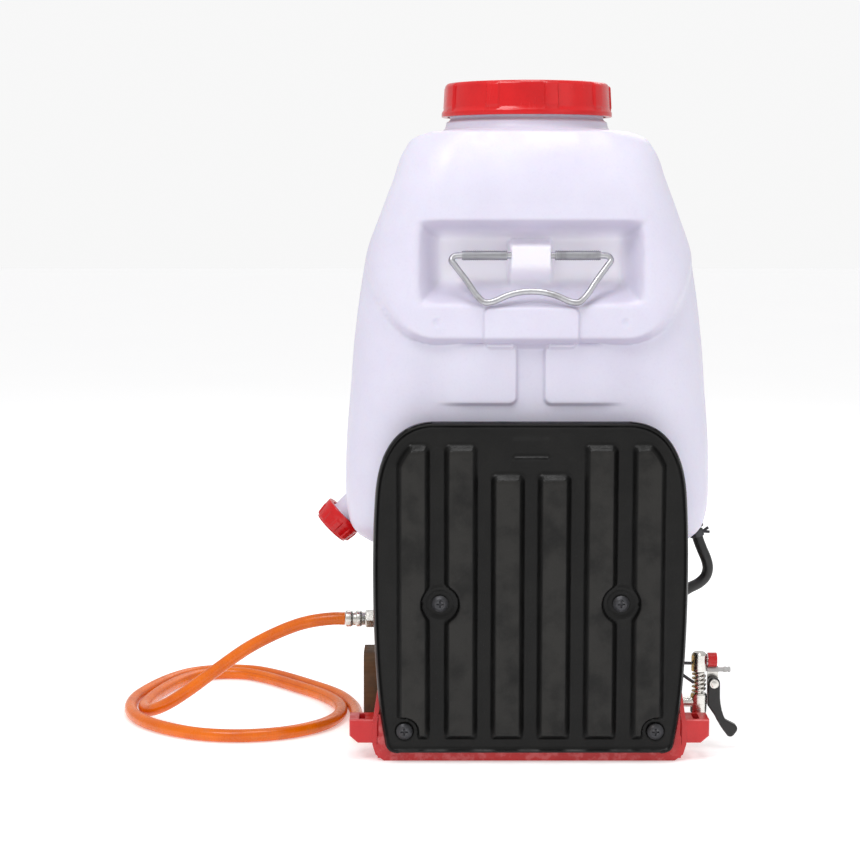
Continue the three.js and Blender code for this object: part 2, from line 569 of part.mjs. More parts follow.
/** A point on the cylinder's axis, which lies across the machine. */
const boreAt = (x) => [x, CYLINDER_Y, CRANK.z];
function cylinder() {
  const y = [CYLINDER_Y - 36, CYLINDER_Y + 36];
  const z = [CRANK.z - 36, CRANK.z + 36];
  const fins = Array.from({ length: FIN_COUNT }, (_, i) => {
    const x = -64 - i * FIN_PITCH;
    return casting([x - 3, x], y, z, { axis: "x", radius: 10 });
  });
  return cut(join(rod(boreAt(-118), boreAt(-58.3), 24), ...fins), rod(boreAt(-108), boreAt(-50), 16, ROUND));
}
add("cylinder", cylinder(), aluminium());
add("piston", rod(boreAt(-88), boreAt(-66), 15.6, ROUND), aluminium());
add("cylinder_cowl", join(
  casting([-121, -60], [-10, 71], [104.5, 107.5], { radius: 6 }),
  casting([-121, -64], [67.8, 71], [40, 107], { axis: "y", radius: 6 }),
), blackPlastic());
add("spark_plug", join(rod(boreAt(-118.3), boreAt(-125), 8, 6), rod(boreAt(-125), boreAt(-136), 4.6)), nickel());
const bootLead = rod(boreAt(-138), [-138, CYLINDER_Y + 14, CRANK.z + 8], 5);
add("plug_boot", cut(join(rod(boreAt(-126), boreAt(-143), 8), bootLead), rod(boreAt(-120), boreAt(-137), 5)), rubber());
add("muffler", join(
  casting([-161, -94], [-66, -18], [24, 92], { axis: "x", radius: 9 }),
  casting([-116, -98], [-20, -6.6], [56, 78], { axis: "y", radius: 5 }),
  rod([-150, -42, 60], [-150, -42, 26], 5),
), muffle());
add("carburettor", cut(join(
  casting([-50, -14], [12, 48], [104.3, 134], { radius: 6 }),
  rod([-32, 30, 110], [-32, 30, 136], 13, ROUND),
), rod([-32, 0, 119], [-32, 60, 119], 3.3)), aluminium());
add("air_filter_cover", join(
  casting([-70, 6], [4, 58], [136.3, 158], { radius: 10 }),
  casting([-60, -4], [12, 50], [150, 169], { radius: 9 }),
), blackPlastic());
/** A small arm on a spindle through the carburettor. */
const spindleArm = (inner, outer, tip) => join(rod([-32, inner, 119], [-32, outer, 119], 3),
  rod([-32, outer - Math.sign(outer - 30) * 3, 119], [-32, outer, 119], 5),
  rod([-32, outer - Math.sign(outer - 30) * 1.5, 119], tip, 1.8, 8));
add("choke_lever", spindleArm(34, 54, [-6, 52.5, 127]), blackPlastic());
add("throttle_arm", spindleArm(28, 6, [-54, 7.5, 127]), steel());

// ---- cooling fan and recoil starter ----
function fanHousing() {
  return turned([[12, 0], [FAN_R, 0], [FAN_R, 34], [FAN_R - 3, 34], [FAN_R - 3, 2.5], [12, 2.5], [12, 0]],
    crankAt(CASE_BACK + GAP), [0, 1, 0]);
}
add("fan_housing", fanHousing(), redPlastic());
function flywheel() {
  const blades = Array.from({ length: 8 }, (_, i) =>
    aimed(new THREE.BoxGeometry(2, 16, 14).translate(0, 8, 28).rotateY((i * Math.PI) / 4), crankAt(71), [0, 1, 0]));
  const shaft = rod(crankAt(-4), crankAt(64), 8.4);
  return join(shaft, rod(crankAt(64), crankAt(72), 36, ROUND), rod(crankAt(70), crankAt(84), 16), ...blades);
}
add("flywheel_fan", flywheel(), aluminium());
function recoilCover() {
  const low = CASE_BACK + GAP + 34 + GAP;
  const cover = turned([[FAN_R - 3, low], [FAN_R, low], [FAN_R, COVER_BACK - 6], [FAN_R - 6, COVER_BACK],
    [0, COVER_BACK], [0, COVER_BACK - 3], [FAN_R - 7, COVER_BACK - 3], [FAN_R - 3, COVER_BACK - 7],
    [FAN_R - 3, low]], crankAt(0), [0, 1, 0]);
  const louvres = Array.from({ length: 6 }, (_, i) => {
    const slot = new THREE.BoxGeometry(7, 12, 16).translate(0, 0, 25).rotateY((i * Math.PI) / 3);
    return aimed(slot, crankAt(COVER_BACK), [0, 1, 0]);
  });
  const ropeEdge = [ROPE_Z - 7, ROPE_Z + 7];
  const exit = casting([CRANK.x + 34, CRANK.x + 50], [95, 105], ropeEdge, { axis: "x", radius: 4 });
  const ropeHole = rod([CRANK.x + 20, 100, ROPE_Z], [CRANK.x + 60, 100, ROPE_Z], 2.6, 10);
  return cut(join(cut(cover, ...louvres), rod(crankAt(COVER_BACK - 5), crankAt(COVER_BACK), 12), exit), ropeHole);
}
add("recoil_cover", recoilCover(), blackPlastic());
add("recoil_pulley", cut(turned([[0, 93], [26, 93], [26, 95], [22, 97], [22, 103], [26, 105], [26, 106], [0, 106]],
  crankAt(0), [0, 1, 0]), rod(crankAt(90), crankAt(97), 9)), blackPlastic());
add("recoil_handle", join(
  rod([CRANK.x + 36, 100, ROPE_Z], [CRANK.x + 54, 100, ROPE_Z], 2),
  casting([CRANK.x + 51, CRANK.x + 64], [92, 108], [ROPE_Z - 15, ROPE_Z + 15], { axis: "x", radius: 6 }),
), blackPlastic());

// ---- fuel tank ----
add("fuel_tank", cut(
  join(casting([36, 116], [30, 94], [BED_TOP, 72], { radius: 12 }), rod([...FUEL, 68], [...FUEL, 82], 14, ROUND)),
  casting([39, 113], [33, 91], [BED_TOP + 3, 69], { radius: 10 }),
  rod([...FUEL, 60], [...FUEL, 90], 11, ROUND),
), paint(0xe9e6da, 0.45));
add("fuel_cap", join(
  turned([[14.6, 74], [17, 74], [17, 86], [15.5, 88], [0, 88], [0, 82.4], [14.6, 82.4], [14.6, 74]], [...FUEL, 0]),
  block([FUEL[0] - 13, FUEL[0] + 13], [FUEL[1] - 2.5, FUEL[1] + 2.5], [87, 92]),
), blackPlastic());

// ---- drive and pump ----
add("gear_case", cut(casting([-62, 20], [-36, -GAP], [27, 104], { axis: "y", radius: 18 }),
  rod(crankAt(-26), crankAt(5), 30, ROUND)), aluminium());
add("clutch_drum", cut(rod(crankAt(-24), crankAt(-8), 27, ROUND), rod(crankAt(-20), crankAt(-5), 24, ROUND)), steel());
const plungerAt = (x) => [x, PLUNGER.y, PLUNGER.z];
add("pump_body", cut(join(
  casting([-40, 70], [-92, -36.3], [42, 98], { axis: "x", radius: 12 }),
  casting([-30, -10], [-86, -42], [BED_TOP, 46], { radius: 4 }),
  casting([40, 60], [-86, -42], [BED_TOP, 46], { radius: 4 }),
  rod([10, PLUNGER.y, 96], [10, PLUNGER.y, 108], 8),
), rod(plungerAt(0), plungerAt(80), 9)), aluminium());
add("pump_plunger", rod(plungerAt(6), plungerAt(56), 8.6), nickel());
add("valve_block", join(
  casting([70.3, 130], [-90, -42], [38, 118], { axis: "x", radius: 8 }),
  rod([108, -58, 116], [108, -58, 136], 8),
  rod([108, -58, 131], [120.7, -45.3, 131], 4.5),
), brass());
const DISCHARGE_ROUTE = [[-40.3, -64, 84], [-47, -64, 84], [-60, -63, 88], [-78, -58, 99], [-101, -42, 110],
  [-123, -18, 113], [-137, -4, 113], [-145, 0, 113], [-151.7, 0, 113]];
add("discharge_pipe", swept(DISCHARGE_ROUTE, 6, 8, 12), brass());
add("hose_union", join(
  rod([-152, 0, UNION_Z], [-161, 0, UNION_Z], 9.4, 6),
  turned([[0, 9], [7, 9], [7, 13], [8.2, 14], [8.2, 18], [7.2, 19], [7.2, 22], [8.2, 23], [8.2, 28.5], [7.2, 29.7],
    [0, 29.7]], [-152, 0, UNION_Z], [-1, 0, 0], 20),
), nickel());

// ---- pressure regulator and relief lever ----
function regulatorBody() {
  const stem = turned([[0, 37], [8, 37], [8, 54], [7, 56], [4, 56], [4, 78], [7.6, 78], [7.6, 94], [5.5, 96.5],
    [0, 96.5]], [REG.x, REG.y, 0], [0, 0, 1], 20);
  const inlet = rod([130.3, REG.y, 47], [REG.x, REG.y, 47], 5.5);
  const { x, z } = LEVER_PIVOT;
  const ear = casting([x - 5.5, x + 5.5], [-74.6, -70], [59, 82], { axis: "y", radius: 3 });
  const link = block([REG.x, x + 3.5], [-74.6, -70], [78.3, 82]);
  const pivot = rod([x, -73, z], [x, -85.4, z], 2.6, 12);
  const knobStem = rod([REG.x, REG.y, KNOB.z], [KNOB.from + 3.8, REG.y, KNOB.z], 2.4, 12);
  return join(stem, inlet, ear, link, pivot, knobStem);
}
add("regulator_body", regulatorBody(), nickel());

function spring() {
  const turns = 4.5;
  const points = Array.from({ length: turns * 8 + 1 }, (_, i) => {
    const angle = (i / 8) * 2 * Math.PI + 2.4;
    return [REG.x + 5.7 * Math.cos(angle), REG.y + 5.7 * Math.sin(angle), 57.8 + (i / 8) * 4.15];
  });
  return swept(points, 1.3, 6, turns * 8);
}
add("regulator_spring", spring(), nickel());
function regulatorKnob() {
  const wheel = rod([KNOB.from, REG.y, KNOB.z], [KNOB.to, REG.y, KNOB.z], KNOB.r, 18);
  const grips = lugs(6, KNOB.r - 0.8, 1.6, KNOB.to - KNOB.from, [KNOB.from, REG.y, KNOB.z], [1, 0, 0]);
  return cut(join(wheel, ...grips), rod([REG.x, REG.y, KNOB.z], [KNOB.from + 4.2, REG.y, KNOB.z], 2.7, 12));
}
add("regulator_knob", regulatorKnob(), redPlastic());
const spigotAt = (x) => [REG.x + x, REG.y, REG.spigotZ];
add("bypass_spigot", join(
  rod(spigotAt(7.9), spigotAt(30.6), 2.3, 12),
  rod(spigotAt(24), spigotAt(27), 2.9, 12),
  rod(spigotAt(28.4), spigotAt(30.6), 2.9, 12),
), paint(0xc9c9c9, 0.4));
function reliefLever() {
  const outline = new THREE.Shape();
  outline.absarc(0, 0, 6, Math.PI, 0, true);
  outline.lineTo(6.1, -14).quadraticCurveTo(7.1, -28, 11.9, -36.6);
  outline.lineTo(21.5, -41.6).quadraticCurveTo(24.9, -44.4, 22.9, -48).lineTo(20.1, -51.8);
  outline.quadraticCurveTo(17.5, -54.6, 14.1, -52.6).quadraticCurveTo(5.5, -42, 0.9, -32);
  outline.lineTo(-6, -22).lineTo(-6, 0);
  const blade = faced(outline, -75, -85, { bevel: 1.2 });
  return cut(blade, rod([0, -70, 0], [0, -90, 0], 2.9, 12)).translate(LEVER_PIVOT.x, 0, LEVER_PIVOT.z);
}
add("relief_lever", reliefLever(), blackPlastic());
add("regulator_stay", join(
  rod([134, -84, 87], [REG.x - 8, -81, 85.6], 1.6, 8),
  rod([134, -84, 87], [REG.x - 6, -88.4, 68], 1.6, 8),
), darkSteel());

// ---- spray hose and its end ----
add("spray_hose", swept(SPRAY_ROUTE, HOSE_R, 8, 56), orangeHose());
const hoseEnd = SPRAY_ROUTE.at(-1);
const endWay = new THREE.Vector3(0.08, -0.996, 0).toArray();
const alongEnd = (distance) => shifted([hoseEnd[0], hoseEnd[1] - 1, hoseEnd[2]], endWay, distance);
add("hose_connector", join(rod(alongEnd(0), alongEnd(22), 7.6, 20), rod(alongEnd(21), alongEnd(24), 6, 20),
  rod(alongEnd(24), alongEnd(40), 8.9, 6), rod(alongEnd(40), alongEnd(50), 6, 20)), brass());

export default sprayer;
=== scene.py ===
"""Looks of a backpack power sprayer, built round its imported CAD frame.

Every object is in metres in the frame of the CAD model: +Z up, the wearer's back at -Y, and the origin on
the floor under the filler neck. Each sub-assembly is a class that builds its pieces and dresses them.
"""

import json
import logging
import math
from collections.abc import Callable, Mapping, Sequence
from dataclasses import dataclass, field
from enum import Enum
from functools import cache

import bmesh
import bpy
import numpy as np
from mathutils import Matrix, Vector


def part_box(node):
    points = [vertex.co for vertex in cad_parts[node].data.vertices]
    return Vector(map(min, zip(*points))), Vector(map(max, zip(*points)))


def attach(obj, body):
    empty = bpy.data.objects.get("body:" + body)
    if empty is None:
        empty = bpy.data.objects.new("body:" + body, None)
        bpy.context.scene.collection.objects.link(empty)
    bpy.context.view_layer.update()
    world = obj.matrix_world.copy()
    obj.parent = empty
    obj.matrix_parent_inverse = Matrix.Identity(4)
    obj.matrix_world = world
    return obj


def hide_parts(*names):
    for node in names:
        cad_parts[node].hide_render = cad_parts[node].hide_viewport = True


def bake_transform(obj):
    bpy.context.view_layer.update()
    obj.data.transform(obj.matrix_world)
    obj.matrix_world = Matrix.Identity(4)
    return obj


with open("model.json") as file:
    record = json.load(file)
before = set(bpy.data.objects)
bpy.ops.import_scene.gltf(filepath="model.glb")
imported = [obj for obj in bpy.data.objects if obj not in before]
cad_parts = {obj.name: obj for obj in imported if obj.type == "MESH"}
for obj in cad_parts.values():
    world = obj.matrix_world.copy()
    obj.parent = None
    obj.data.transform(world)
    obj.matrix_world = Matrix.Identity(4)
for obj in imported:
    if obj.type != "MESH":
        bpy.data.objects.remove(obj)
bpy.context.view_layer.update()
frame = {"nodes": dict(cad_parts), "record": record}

log = logging.getLogger("sprayer")

Colour = tuple[float, float, float]
Point = tuple[float, float, float]
Profile = Sequence[tuple[float, float]]
Shape = tuple[np.ndarray, list[tuple[int, ...]]]
Swell = Callable[[np.ndarray, float], np.ndarray]

BODY_OF = {node: body for body, nodes in frame["record"]["behaviour"]["bodies"].items() for node in nodes}
SLOT_OF = {part["node"]: part["material_slot"] for part in frame["record"]["subparts"]}


# ---- shader expressions ----
class Value:
    """A number on a shader socket. Arithmetic on it adds Math nodes."""

    def __init__(self, shader: "NodeTree", socket: bpy.types.NodeSocket) -> None:
        """Wraps a socket of a node tree."""
        self.shader = shader
        self.socket = socket

    def __add__(self, other: "Value | float") -> "Value":
        """The sum."""
        return self.shader.math("ADD", self, other)

    __radd__ = __add__

    def __mul__(self, other: "Value | float") -> "Value":
        """The product."""
        return self.shader.math("MULTIPLY", self, other)

    __rmul__ = __mul__

    def __sub__(self, other: "Value | float") -> "Value":
        """The difference."""
        return self.shader.math("SUBTRACT", self, other)

    def __rsub__(self, other: float) -> "Value":
        """A number less this value."""
        return self.shader.math("SUBTRACT", other, self)

    def __abs__(self) -> "Value":
        """The size without its sign."""
        return self.shader.math("ABSOLUTE", self)

    def between(self, low: float, high: float) -> "Value":
        """A smooth step from 0 at low to 1 at high.

        Args:
            low: where the step starts.
            high: where it ends, which may be less than low.

        Returns:
            The stepped value.
        """
        inputs = {0: self, 1: low, 2: high, 3: 0.0, 4: 1.0}
        made = self.shader.node("ShaderNodeMapRange", {"interpolation_type": "SMOOTHSTEP"}, inputs)
        return Value(self.shader, made.outputs[0])


Fed = Value | bpy.types.NodeSocket | float | Sequence[float]


class NodeTree:
    """A node tree, with one method that makes every node."""

    def __init__(self, tree: bpy.types.NodeTree) -> None:
        """Works on a node tree."""
        self.tree = tree

    def feed(self, socket: bpy.types.NodeSocket, value: Fed) -> None:
        """Links a value to a socket, or sets it there."""
        if isinstance(value, Value):
            self.tree.links.new(value.socket, socket)
        elif isinstance(value, bpy.types.NodeSocket):
            self.tree.links.new(value, socket)
        elif isinstance(value, Sequence) and socket.type == "RGBA":
            socket.default_value = (*value[:3], 1.0)
        else:
            socket.default_value = value

    def node(
        self,
        kind: str,
        settings: Mapping[str, object] | None = None,
        inputs: Mapping[str | int, Fed] | None = None,
    ) -> bpy.types.Node:
        """Makes a node.

        Args:
            kind: the node's type.
            settings: its properties, set before its sockets.
            inputs: values or links by socket name or number.

        Returns:
            The node.
        """
        made = self.tree.nodes.new(kind)
        for key, value in (settings or {}).items():
            setattr(made, key, value)
        for key, value in (inputs or {}).items():
            self.feed(made.inputs[key], value)
        return made

    def math(self, operation: str, first: Fed, second: Fed | None = None) -> Value:
        """One Math node.

        Args:
            operation: the node's operation.
            first: its first value.
            second: its second value, if the operation has one.

        Returns:
            The result.
        """
        inputs = {0: first} if second is None else {0: first, 1: second}
        return Value(self, self.node("ShaderNodeMath", {"operation": operation}, inputs).outputs[0])


class Shader(NodeTree):
    """A material's node tree, and the textures and masks that the finishes are made from."""

    def __init__(self, name: str) -> None:
        """Starts a material with a Principled shader."""
        self.material = bpy.data.materials.new(name)
        self.material.use_nodes = True
        super().__init__(self.material.node_tree)
        self.surface = self.tree.nodes["Principled BSDF"]
        self.place = self.node("ShaderNodeTexCoord").outputs["Object"]

    def noise(self, size: float, detail: float = 3.0, stretch: Point = (1.0, 1.0, 1.0)) -> Value:
        """Noise whose blobs are about size metres across.

        Args:
            size: the width of a blob in metres.
            detail: how many finer layers it has.
            stretch: how many times longer the blobs are along each axis.

        Returns:
            The noise, from 0 to 1 round a middle of 0.5.
        """
        scale = tuple(1.0 / (size * axis) for axis in stretch)
        placed = self.node("ShaderNodeMapping", inputs={"Vector": self.place, "Scale": scale})
        inputs = {"Vector": placed.outputs[0], "Scale": 1.0, "Detail": detail, "Roughness": 0.55}
        return Value(self, self.node("ShaderNodeTexNoise", inputs=inputs).outputs[0])

    def cells(self, size: float) -> Value:
        """The distance to the nearest of scattered points about size metres apart."""
        placed = self.node("ShaderNodeMapping", inputs={"Vector": self.place, "Scale": (1.0 / size,) * 3})
        inputs = {"Vector": placed.outputs[0], "Scale": 1.0}
        return Value(self, self.node("ShaderNodeTexVoronoi", inputs=inputs).outputs["Distance"])

    def axes(self) -> tuple[Value, Value, Value]:
        """The place on the object along X, Y and Z, in metres."""
        split = self.node("ShaderNodeSeparateXYZ", inputs={0: self.place})
        return tuple(Value(self, socket) for socket in split.outputs)

    def facing(self, axis: int) -> Value:
        """1 where the surface faces along an axis, given as 0, 1 or 2, and -1 where it faces away."""
        normal = self.node("ShaderNodeNewGeometry").outputs["Normal"]
        return Value(self, self.node("ShaderNodeSeparateXYZ", inputs={0: normal}).outputs[axis])

    def edges(self) -> Value:
        """1 along the outer edges, and 0 on flat and hollow stretches."""
        point = Value(self, self.node("ShaderNodeNewGeometry").outputs["Pointiness"])
        return point.between(0.515, 0.58)

    def mix(self, factor: Fed, first: Fed, second: Fed) -> bpy.types.NodeSocket:
        """Mixes two colours.

        Args:
            factor: 0 for the first and 1 for the second.
            first: a colour or a link.
            second: a colour or a link.

        Returns:
            The mixed colour's socket.
        """
        settings = {"data_type": "RGBA", "clamp_factor": True}
        return self.node("ShaderNodeMix", settings, {0: factor, 6: first, 7: second}).outputs[2]

    def bump(
        self, height: Value, depth: float, under: bpy.types.NodeSocket | None = None
    ) -> bpy.types.NodeSocket:
        """A Bump node.

        Args:
            height: the height map, from 0 to 1.
            depth: the depth in metres that a height of 1 stands for.
            under: the normal of a coarser bump below this one.

        Returns:
            The normal's socket.
        """
        inputs = {"Height": height, "Distance": depth, "Strength": 1.0}
        if under is not None:
            inputs["Normal"] = under
        return self.node("ShaderNodeBump", inputs=inputs).outputs[0]

    def done(self, **inputs: Fed) -> bpy.types.Material:
        """Feeds the Principled shader, by socket name with _ for a space, and returns the material."""
        for key, value in inputs.items():
            self.feed(self.surface.inputs[key.replace("_", " ")], value)
        return self.material


# ---- finishes ----
class Texture(Enum):
    """How a moulded or metal surface is textured."""

    SMOOTH = "smooth"
    LEATHER = "leather"
    CAST = "cast"
    BRUSHED = "brushed"


@dataclass(frozen=True)
class Plastic:
    """Moulded plastic or rubber, blotched, dusted and rubbed pale on its edges."""

    name: str
    colour: Colour
    shade: Colour
    roughness: tuple[float, float] = (0.3, 0.42)
    texture: Texture = Texture.SMOOTH
    depth: float = 0.00006
    blotch: float = 0.05
    clear: float = 0.0
    coat: float = 0.0
    dust: float = 0.1
    worn: float = 0.15
    seam: bool = False
    shine: float = 0.5

    @cache
    def material(self) -> bpy.types.Material:
        """The finish as a material."""
        shader = Shader(self.name)
        blotches = shader.noise(self.blotch, 4.0)
        speckle = shader.noise(0.0025, 2.0)
        mottled = blotches.between(0.35, 0.7) * 0.7 + speckle.between(0.45, 0.8) * 0.3
        colour = shader.mix(mottled, self.colour, self.shade)
        rubbed = shader.edges() * shader.noise(0.008, 3.0).between(0.45, 0.65) * self.worn
        pale = tuple(min(1.0, 0.25 + 1.1 * part) for part in self.colour)
        colour = shader.mix(rubbed, colour, pale)
        settled = shader.facing(2).between(0.3, 1.0) * shader.noise(0.02, 5.0).between(0.4, 0.75)
        film = shader.noise(0.09, 5.0).between(0.5, 0.8) * 0.35
        dusty = (settled * 0.65 + film) * self.dust
        colour = shader.mix(dusty, colour, (0.62, 0.58, 0.52))
        # painted light and shade from the piece's shape, for the tank and the plate
        colour = self.painted_shading(shader, colour)
        low, high = self.roughness
        scuffs = shader.noise(0.012, 5.0, (1.0, 1.0, 4.0)).between(0.4, 0.7)
        roughness = scuffs * (high - low) + low + dusty * 0.3
        return shader.done(
            Base_Color=colour,
            Roughness=roughness,
            Normal=self.relief(shader),
            Subsurface_Weight=self.clear,
            Subsurface_Scale=0.01,
            Specular_IOR_Level=self.shine,
            Coat_Weight=self.coat,
            Coat_Roughness=0.12,
        )

    def painted_shading(self, shader: Shader, colour: bpy.types.NodeSocket) -> bpy.types.NodeSocket:
        """The light and shade that a piece's shape paints into its colour: none, for most pieces."""
        return colour

    def relief(self, shader: Shader) -> bpy.types.NodeSocket:
        """The normal of the surface's texture, over that of its parting line."""
        waves = shader.bump(shader.noise(0.03, 2.0), 0.0006)
        if self.seam:
            along = abs(shader.axes()[1])
            waves = shader.bump(along.between(0.0011, 0.0003), 0.0006, waves)
        if self.texture is Texture.LEATHER:
            grain = shader.cells(0.0016) * 0.7 + shader.noise(0.0007, 2.0) * 0.3
        else:
            grain = shader.noise(0.0014, 3.0)
        return shader.bump(grain, self.depth, waves)


@dataclass(frozen=True)
class TankPlastic(Plastic):
    """The tank's milky plastic, with painted shade on what faces down and beside the pads, and a painted
    light on the floor of the hand recess.
    """

    # colour of the painted shade
    painted_shade_colour: Colour = (0.36, 0.31, 0.44)
    # colour of the painted light on the floor of the hand recess
    lit: Colour = (0.95, 0.92, 1.0)
    # weights of the painted shade on what faces down and beside the pads
    under: float = 0.26
    beside: float = 0.22

    def painted_shading(self, shader: Shader, colour: bpy.types.NodeSocket) -> bpy.types.NodeSocket:
        """The colour with painted shade on what faces down and beside the pads, and a painted light on the
        floor of the hand recess.
        """
        # painted shade mixed into the colour
        with_painted_shade = shader.mix(self.painted_shade(shader), colour, self.painted_shade_colour)
        # painted light on the floor of the hand recess
        return shader.mix(self.painted_recess_light(shader), with_painted_shade, self.lit)

    def painted_shade(self, shader: Shader) -> Value:
        """How much painted shade the wall gets: on what faces down under the bulge, and beside the pads, but
        not on the lug.
        """
        across, depth, height = shader.axes()
        pressed = abs(across).between(0.118, 0.108) * depth.between(-0.07, -0.09)
        lug_height = height.between(0.445, 0.452) * height.between(0.502, 0.496)
        lug = abs(across).between(0.030, 0.024) * lug_height
        upright = abs(shader.facing(1))
        beside = upright.between(0.97, 0.7) * pressed * height.between(0.535, 0.52)
        # painted shade on surfaces that face down
        below = (0.0 - shader.facing(2)).between(0.1, 0.6)
        return (below * self.under + beside * self.beside) * (1.0 - lug)

    def painted_recess_light(self, shader: Shader) -> Value:
        """1 on the floor of the hand recess, where a painted light brightens the colour."""
        across, depth, height = shader.axes()
        upper, lower = height.between(0.512, 0.498), height.between(0.446, 0.464)
        inside = abs(across).between(0.098, 0.080) * upper * lower
        return inside * depth.between(-0.1115, -0.1085) * depth.between(-0.05, -0.07)


@dataclass(frozen=True)
class PlatePlastic(Plastic):
    """The backrest's black plastic, with painted shade between its ribs and on their slopes, and crests
    rubbed grey by the wearer's back that also carry painted light.
    """

    # colour of the painted shade between the ribs and on their slopes
    grime_and_painted_shade: Colour = (0.001, 0.001, 0.001)
    # paler crests: wear from the wearer's back, and painted light on the faces that stand out
    polish_and_painted_light: Colour = (0.058, 0.055, 0.051)
    rubbed: float = 0.26
    ground: tuple[float, float] = (-0.1362, -0.1325)
    crest: tuple[float, float] = (-0.1366, -0.1376)

    def painted_shading(self, shader: Shader, colour: bpy.types.NodeSocket) -> bpy.types.NodeSocket:
        """The colour with painted shade on the ground between the ribs and on their slopes, and crests that
        the wearer's back rubs paler, which also stand in for painted light on them.
        """
        forward = shader.axes()[1]
        sloping = abs(shader.facing(1)).between(0.97, 0.72)
        patches = shader.noise(0.006, 4.0) * 0.3 + 0.7
        # painted shade: on the ground between the ribs, and more on the slopes that face sideways
        painted_shade_mask = (forward.between(*self.ground) * 0.3 + sloping * 0.65) * patches
        with_painted_shade = shader.mix(painted_shade_mask, colour, self.grime_and_painted_shade)
        # crests rubbed paler, partly wear and partly painted light
        worn = forward.between(*self.crest) * shader.noise(0.03, 5.0).between(0.25, 0.6)
        return shader.mix(worn * self.rubbed, with_painted_shade, self.polish_and_painted_light)


@dataclass(frozen=True)
class Metal:
    """Bare, plated or painted metal, tarnished in blotches."""

    name: str
    colour: Colour
    tarnish: Colour
    roughness: tuple[float, float] = (0.25, 0.45)
    texture: Texture = Texture.BRUSHED
    depth: float = 0.00004
    metallic: float = 1.0
    spread: float = 0.5
    lie: Point = (8.0, 1.0, 1.0)

    @cache
    def material(self) -> bpy.types.Material:
        """The finish as a material."""
        shader = Shader(self.name)
        stained = shader.noise(0.018, 6.0).between(0.62 - 0.3 * self.spread, 0.75) * self.spread
        grime_and_painted_shade = shader.noise(0.004, 4.0).between(0.5, 0.8) * 0.4 * self.spread
        dull = stained + grime_and_painted_shade
        colour = shader.mix(dull, self.colour, self.tarnish)
        bright = tuple(min(1.0, 1.25 * part + 0.05) for part in self.colour)
        colour = shader.mix(shader.edges() * 0.5, colour, bright)
        low, high = self.roughness
        marks = shader.noise(0.003, 4.0, self.lie)
        roughness = marks.between(0.3, 0.7) * (high - low) + low + dull * 0.25
        if self.texture is Texture.CAST:
            grain = shader.noise(0.0012, 3.0) * 0.6 + shader.cells(0.002) * 0.4
        else:
            grain = shader.noise(0.0006, 3.0, self.lie)
        return shader.done(
            Base_Color=colour,
            Roughness=roughness,
            Metallic=self.metallic,
            Normal=shader.bump(grain, self.depth, shader.bump(shader.noise(0.02), 0.0003)),
        )


@dataclass(frozen=True)
class HoseSkin:
    """The hose's cover: glossy, faintly ribbed by the braid below it, and scuffed where it drags."""

    name: str = "hose_skin"
    colour: Colour = (0.8, 0.165, 0.0)
    deep: Colour = (0.56, 0.08, 0.0)
    braid: float = 0.0052

    @cache
    def material(self) -> bpy.types.Material:
        """The finish as a material."""
        shader = Shader(self.name)
        along = self.measure(shader, "along")
        around = self.measure(shader, "around")
        turn = 2.0 * math.pi / self.braid
        left = shader.math("SINE", along * turn + around * 3.0)
        right = shader.math("SINE", along * turn - around * 3.0)
        weave = (left * right) * 0.5 + 0.5
        cloud = shader.noise(0.03, 4.0).between(0.35, 0.7)
        colour = shader.mix(cloud * 0.45 + weave * 0.18, self.colour, self.deep)
        stripe = shader.math("COSINE", around).between(0.985, 0.998)
        colour = shader.mix(stripe * 0.35, colour, (0.35, 0.05, 0.004))
        grime_and_painted_shade = shader.noise(0.012, 6.0).between(0.52, 0.75)
        colour = shader.mix(grime_and_painted_shade * 0.22, colour, (0.2, 0.12, 0.06))
        normal = shader.bump(weave, 0.00005, shader.bump(shader.noise(0.01, 2.0), 0.0002))
        return shader.done(
            Base_Color=colour,
            Roughness=grime_and_painted_shade * 0.2 + 0.26,
            Normal=normal,
            Specular_IOR_Level=0.4,
            Coat_Weight=0.08,
            Coat_Roughness=0.15,
            Subsurface_Weight=0.05,
            Subsurface_Scale=0.004,
        )

    def measure(self, shader: Shader, name: str) -> Value:
        """A number that the hose's mesh holds at each point."""
        made = shader.node("ShaderNodeAttribute", {"attribute_name": name})
        return Value(shader, made.outputs["Fac"])


@dataclass(frozen=True)
class Backdrop:
    """The pale studio floor."""

    name: str = "studio_floor"
    colour: Colour = (0.9, 0.9, 0.9)
    shade: Colour = (0.86, 0.86, 0.87)
    lift: float = 0.36

    @cache
    def material(self) -> bpy.types.Material:
        """The finish as a material."""
        shader = Shader(self.name)
        colour = shader.mix(shader.noise(0.5, 4.0), self.colour, self.shade)
        return shader.done(
            Base_Color=colour,
            Roughness=0.75,
            Emission_Color=(1.0, 1.0, 1.0),
            Emission_Strength=self.lift,
        )


Finish = Plastic | Metal | HoseSkin | Backdrop

